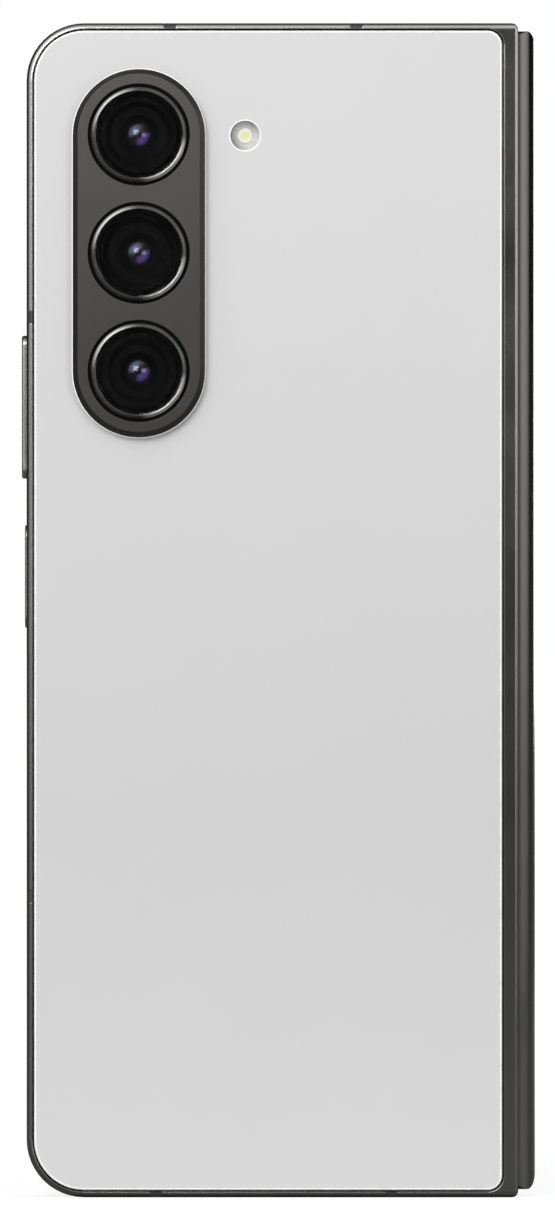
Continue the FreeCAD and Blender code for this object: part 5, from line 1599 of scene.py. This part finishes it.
@dataclass
class FlashLamp:
    """The flash: a clear ridged window over a white bowl and the phosphor tile."""

    centre: Pair = (FLASH_CENTRE[0], FLASH_CENTRE[2])
    radius: float = 1.97 * MM
    face: float = -5.57 * MM
    window: float = 0.13 * MM
    window_edge: float = 0.05 * MM
    floor: float = -4.73 * MM
    throat: float = 0.95 * MM
    rim: float = 0.06 * MM
    bowl_steps: int = 12
    ridge: float = 0.02 * MM
    ridge_count: int = 7
    ridge_margin: float = 0.3 * MM
    ridge_sink: float = 0.9

    def bowl_profile(self) -> Outline:
        """The bowl's outline: a parabola inside, a straight wall outside.

        Returns:
            (radius, depth) points of a closed outline.
        """
        top = self.face + self.window + 2 * self.ridge
        mouth = self.radius - self.rim - self.throat
        inside = []
        for k in range(self.bowl_steps + 1):
            share = k / self.bowl_steps
            depth = self.floor - (self.floor - top) * share
            inside.append((self.throat + mouth * math.sqrt(share), depth))
        return inside + [(self.radius, top), (self.radius, self.floor)]

    def build(self) -> None:
        """Turns the bowl and window, and grows the window's ridges."""
        dress(PHOSPHOR, "flash_led")
        mesh = turned(self.bowl_profile(), self.centre)
        bowl = new_piece("flash_bowl", mesh, BOWL, Body.REAR, smooth=True)
        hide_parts("flash_lens")
        top, under, edge = self.face, self.face + self.window, self.window_edge
        profile = [(0.0, top), (self.radius - edge, top), (self.radius, top + edge)]
        profile += [(self.radius, under), (0.0, under)]
        new_piece("flash_window", turned(profile, self.centre), LAMP_GLASS, Body.REAR)
        step = (self.radius - self.ridge_margin) / self.ridge_count
        centre = (self.centre[0], under + self.ridge * self.ridge_sink, self.centre[1])
        ridges = RIDGES.bake(
            LAMP_GLASS, Count=self.ridge_count, First_Radius=step, Radius_Step=step,
            Ridge_Radius=self.ridge, Centre=centre,
        )
        new_piece("flash_ridges", ridges, LAMP_GLASS, Body.REAR, smooth=True)


@dataclass
class Hinge:
    """The spine, its brackets, arms, plates and screws."""

    steel: Names = (
        "hinge_brackets", "centre_plate", "rear_wing_plate", "cover_wing_plate",
        "rear_hinge_arms", "cover_hinge_arms", "rear_arm_screws", "cover_arm_screws",
    )

    def build(self) -> None:
        """Dresses the hinge's parts."""
        dress(SPINE_METAL, "spine_cover")
        dress(BLACK_PLASTIC, "spine_end_caps")
        dress(STEEL, *self.steel)
        LOG.info("hinge: %d steel parts dressed", len(self.steel))


@dataclass
class InnerDisplay:
    """The inner display: two flat halves and the strips that bend between them and the spine."""

    axis: Pair = (29.905 * MM, 1.75 * MM)
    mid_plane: float = 1.125 * MM
    top: float = 1.145 * MM
    under: float = 0.86 * MM
    blend_start: Pair = (-2.25 * MM, 0.75 * MM)
    blend_end: Pair = (-1.35 * MM, 1.45 * MM)
    flat_edge: float = -4.44 * MM
    tip: float = 1.742 * MM
    low: float = 2.71 * MM
    high: float = 152.19 * MM
    points: int = 56

    def blend_run(self) -> Pair:
        """The way from the blend's start to its end."""
        return self.blend_end[0] - self.blend_start[0], self.blend_end[1] - self.blend_start[1]

    def share_at(self, open_x: float, height: float, turned_up: bool) -> float:
        """How far along the blend a point of the open strip lies.

        Args:
            open_x: its place across the open strip, from the axis.
            height: its height above the axis.
            turned_up: whether it has turned with the spine.

        Returns:
            The share, below 0 before the blend and above 1 past it.
        """
        run = self.blend_run()
        x, y = (-height, open_x) if turned_up else (open_x, height)
        reach = (x - self.blend_start[0]) * run[0] + (y - self.blend_start[1]) * run[1]
        return reach / (run[0] ** 2 + run[1] ** 2)

    def strip(self, name: str, node: str, half: Body, side: int) -> None:
        """Grows one half's strip in its shut shape, bent between that half and the spine.

        Args:
            name: the piece's name.
            node: the CAD node it stands for.
            half: the half it starts on; not used.
            side: 1 for the rear half, -1 for the cover half.
        """
        axis_y = self.mid_plane - side * self.axis[1]
        mesh = FOLDING_SKIN.bake(
            PANEL, Points=self.points, Top=self.top, Under=self.under, Side=float(side),
            Top_Start=self.share_at(self.flat_edge, self.top, False),
            Top_End=self.share_at(self.tip, self.top, True),
            Under_Start=self.share_at(self.flat_edge, self.under, False),
            Under_End=self.share_at(self.tip, self.under, True),
            Blend_Start=(*self.blend_start, 0.0), Blend_Run=(*self.blend_run(), 0.0),
            Axis=(self.axis[0], axis_y, self.low), Height=self.high - self.low,
        )
        piece = new_piece(name, mesh, PANEL, None)
        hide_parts(node)
        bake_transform(piece)

    def build(self) -> None:
        """Dresses the flat halves and grows both strips."""
        dress(PANEL, "rear_display", "cover_display")
        dress(BLACK_PLASTIC, "under_display_camera")
        self.strip("rear_fold_skin", "rear_fold_display", Body.REAR, 1)
        self.strip("cover_fold_skin", "cover_fold_display", Body.COVER, -1)


@dataclass
class CoverScreen:
    """The cover screen: glass, its ink border, the panel, the camera and the earpiece mesh."""

    live_low: Pair = (-30.6 * MM, 4.8 * MM)
    live_high: Pair = (23.9 * MM, 150.1 * MM)
    live_corners: Pair = (1.5 * MM, 5.2 * MM)
    ink_inset: float = 0.16 * MM
    ink: Pair = (7.328 * MM, 7.338 * MM)
    slit: Pair = (9.3 * MM, 0.48 * MM)
    slit_centre: Point = (-0.795 * MM, 7.765 * MM, 152.6 * MM)
    weave_pitch: float = 0.1 * MM
    weave_wire: float = 0.018 * MM

    def build(self) -> None:
        """Dresses the screen, weaves the mesh and lays the ink in the glass's under face."""
        dress(FRONT_GLASS, "cover_glass")
        dress(COVER_PANEL, "cover_screen_panel")
        dress(BLACK_PLASTIC, "cover_camera", "earpiece_speaker")
        dress(STEEL, "earpiece_mesh")
        weave = WIRES.bake(
            STEEL, Width=self.slit[0], Height=self.slit[1], Pitch=self.weave_pitch,
            Wire_Radius=self.weave_wire, Centre=self.slit_centre, Turn=UPRIGHT,
        )
        new_piece("earpiece_weave", weave, STEEL, Body.COVER, smooth=True)
        inner = rounded_loop(self.live_low, self.live_high, self.live_corners)
        ink = band(glass_loop(-self.ink_inset), inner, self.ink)
        new_piece("cover_ink_border", ink, INK, Body.COVER)


@dataclass
class Insides:
    """Cells, boards, coil, card, socket and the rest of the works."""

    socket: Point = (-0.795 * MM, -2.525 * MM, 3.1 * MM)
    tongue_half: float = 0.35 * MM
    contact: Point = (0.25 * MM, 3.2 * MM, 0.03 * MM)
    contact_rounding: float = 0.05 * MM
    contact_count: int = 12
    contact_pitch: float = 0.5 * MM
    chip: Point = (2.2 * MM, 2.6 * MM, 0.5 * MM)
    chip_rounding: float = 0.15 * MM
    chip_grid: tuple[int, int] = (5, 9)
    chip_field: Pair = (13.0 * MM, 34.0 * MM)
    chip_centre: Point = (1.0 * MM, -2.315 * MM, 117.0 * MM)
    chip_keep: float = 0.75
    chip_vary: float = 0.35
    seed: int = 1
    steel: Names = (
        "board_shields", "rear_magnets", "cover_magnets", "key_switches", "main_board_screws",
        "cover_board_screws", "vibration_motor", "microphones", "sim_reader", "usb_socket",
    )

    def blocks(self, name: str, finish: Finish, size: Point, **values: object) -> None:
        """Sets a grid of small blocks.

        Args:
            name: the piece's name.
            finish: the finish it wears.
            size: a block's length, width and thickness.
            values: the grid's other inputs.
        """
        mesh = BLOCKS.bake(
            finish, Long=size[0], Wide=size[1], Thick=size[2], Turn=UPRIGHT, Seed=self.seed,
            **values,
        )
        new_piece(name, mesh, finish, Body.REAR)

    def contacts(self, name: str, side: int) -> None:
        """Sets a row of gilt contacts on one face of the socket's tongue.

        Args:
            name: the piece's name.
            side: -1 for the lower y, 1 for the higher.
        """
        depth = self.socket[1] + side * (self.tongue_half + self.contact[2] / 2)
        self.blocks(
            name, GILT, self.contact, Columns=self.contact_count, Rows=1, Height=0.0,
            Width=(self.contact_count - 1) * self.contact_pitch, Rounding=self.contact_rounding,
            Keep=1.0, Vary=0.0, Centre=(self.socket[0], depth, self.socket[2]),
        )

    def build(self) -> None:
        """Sets the contacts and the chips, and dresses the works."""
        self.contacts("usb_contacts_low", -1)
        self.contacts("usb_contacts_high", 1)
        self.blocks(
            "board_chips", CHIP_RESIN, self.chip, Columns=self.chip_grid[0], Rows=self.chip_grid[1],
            Width=self.chip_field[0], Height=self.chip_field[1], Rounding=self.chip_rounding,
            Keep=self.chip_keep, Vary=self.chip_vary, Centre=self.chip_centre,
        )
        dress(POUCH, "rear_battery", "cover_battery")
        dress(BOARD, "main_board", "cover_board", "charging_board")
        dress(COPPER, "charging_coil", "board_flex")
        dress(STEEL, *self.steel)
        dress(BLACK_PLASTIC, "loudspeaker", "usb_tongue")
        dress(CARD_PLASTIC, "sim_card")


@dataclass
class Lamp:
    """A soft square light."""

    name: str
    place: Point
    size: float
    power: float

    def light(self, target: Vector) -> None:
        """Hangs the light and aims it.

        Args:
            target: the point it looks at.
        """
        data = bpy.data.lights.new(self.name, "AREA")
        data.size = self.size
        data.energy = self.power
        lamp = bpy.data.objects.new(self.name, data)
        lamp.location = self.place
        lamp.rotation_euler = (target - Vector(self.place)).to_track_quat("-Z", "Y").to_euler()
        bpy.context.scene.collection.objects.link(lamp)


@dataclass
class Studio:
    """A pale floor, a white room, soft lights and a long lens on the camera side."""

    picture_height: float = 160.36 * MM
    picture_centre: Pair = (-0.145 * MM, 77.75 * MM)
    back_plane: float = -5.6 * MM
    lens: float = 400.0
    sensor: float = 36.0
    clip: Pair = (0.01, 200.0)
    floor_half: float = 20.0
    floor_z: float = -0.02 * MM
    floor_tones: Pair = (0.24, 0.26)
    floor_reach: Pair = (0.25, 1.2)
    floor_glow: float = 0.85
    floor_bounce: float = 0.04
    ring_rise: Pair = (0.0, 0.6)
    ring_fall: Pair = (0.86, 0.97)
    ring_light: float = 1.0
    side_light: float = 0.015
    centre_light: float = 0.02
    overhead: Pair = (0.5, 0.95)
    overhead_light: float = 0.12
    corner_reach: float = 0.45
    corner_share: float = 0.35
    hinge_side: Pair = (0.35, 0.6)
    hinge_share: float = 0.35
    strip: Pair = (0.86, 0.93)
    strip_depth: Pair = (-0.3, 0.0)
    strip_light: float = 1.1
    lamps: list[Lamp] = field(default_factory=lambda: [
        Lamp("key_light", (-0.34, -1.06, 0.5), 0.6, 5.9),
        Lamp("fill_light", (0.5, -0.95, 0.14), 0.6, 1.9),
        Lamp("rear_light", (0.35, 0.85, 0.3), 0.5, 3.0),
    ])
    floor_scale: float = 3.0
    floor_detail: float = 2.0
    floor_roughness: float = 0.9
    floor_specular: float = 0.1

    def floor(self) -> None:
        """Lays the floor, which shows nearly white but throws little light up."""
        work = bmesh.new()
        bmesh.ops.create_grid(work, x_segments=1, y_segments=1, size=self.floor_half)
        mesh = bpy.data.meshes.new("floor")
        work.to_mesh(mesh)
        work.free()
        made = bpy.data.materials.new("pale_floor")
        skin = Skin(made)
        dark, light = ((tone, tone, tone) for tone in self.floor_tones)
        tone = skin.blend(skin.noise(skin.place, self.floor_scale, self.floor_detail), dark, light)
        away = skin.vector("LENGTH", skin.place)
        glow = skin.spread(away, *self.floor_reach, self.floor_glow, 1.0)
        seen = skin.get("ShaderNodeLightPath")
        glow = skin.times(glow, skin.spread(seen, 0.0, 1.0, self.floor_bounce, 1.0))
        glow = skin.get("ShaderNodeCombineColor", {0: glow, 1: glow, 2: glow})
        skin.feed(Base_Color=tone, Roughness=self.floor_roughness)
        skin.feed(Specular_IOR_Level=self.floor_specular)
        skin.feed(Emission_Color=glow, Emission_Strength=1.0)
        mesh.materials.append(made)
        floor = bpy.data.objects.new("floor", mesh)
        floor.location = (0.0, 0.0, self.floor_z)
        bpy.context.scene.collection.objects.link(floor)

    def room(self) -> None:
        """Lights the room: a white ring round the camera, dark sides and a strip by the hinge."""
        world = bpy.data.worlds.new("room")
        world.use_nodes = True
        bench = NodeBench(world.node_tree)
        parts = bench.split(bench.put("ShaderNodeTexCoord").outputs["Generated"])
        toward = bench.times(parts["Y"], -1.0)
        rise = bench.spread(toward, *self.ring_rise, self.side_light, self.ring_light)
        fall = bench.spread(toward, *self.ring_fall, 0.0, self.ring_light - self.centre_light)
        tilt = bench.times(parts["X"], parts["Z"])
        upper, lower = 1.0 + self.corner_share, 1.0 - self.corner_share
        light_lean = bench.spread(tilt, -self.corner_reach, self.corner_reach, upper, lower)
        hinge = bench.spread(parts["X"], *self.hinge_side, 1.0, self.hinge_share)
        ring = bench.times(bench.minus(rise, fall), bench.times(light_lean, hinge))
        level = bench.plus(ring, bench.spread(parts["Z"], *self.overhead, 0.0, self.overhead_light))
        strip = bench.spread(parts["X"], *self.strip, 0.0, self.strip_light)
        strip = bench.times(strip, bench.spread(toward, *self.strip_depth, 0.0, 1.0))
        level = bench.plus(level, strip)
        grey = bench.get("ShaderNodeCombineColor", {0: level, 1: level, 2: level})
        seen = bench.get("ShaderNodeLightPath")
        shown = bench.blend(seen, grey, (1.0, 1.0, 1.0))
        bench.join(shown, world.node_tree.nodes["Background"].inputs["Color"])
        bpy.context.scene.world = world

    def camera(self) -> None:
        """Sets the camera level, square to the back."""
        data = bpy.data.cameras.new("camera")
        data.lens = self.lens
        data.sensor_width = self.sensor
        data.clip_start, data.clip_end = self.clip
        camera = bpy.data.objects.new("camera", data)
        away = self.picture_height * self.lens / self.sensor
        camera.location = (self.picture_centre[0], self.back_plane - away, self.picture_centre[1])
        camera.rotation_euler = UPRIGHT
        bpy.context.scene.collection.objects.link(camera)
        bpy.context.scene.camera = camera

    def build(self) -> None:
        """Sets up the floor, room, lights and camera."""
        self.floor()
        self.room()
        target = Vector((self.picture_centre[0], self.back_plane, self.picture_centre[1]))
        for lamp in self.lamps:
            lamp.light(target)
        self.camera()
        bpy.context.scene.view_settings.view_transform = "Standard"
        LOG.info("studio: %d lamps", len(self.lamps))


def main() -> None:
    """Builds the phone's sub-assemblies and its studio in order."""
    logging.basicConfig(level=logging.INFO, format="%(name)s: %(message)s")
    parts = (Shell, Cameras, FlashLamp, Hinge, InnerDisplay, CoverScreen, Insides, Studio)
    for part in parts:
        part().build()


if __name__ == "__main__":
    main()
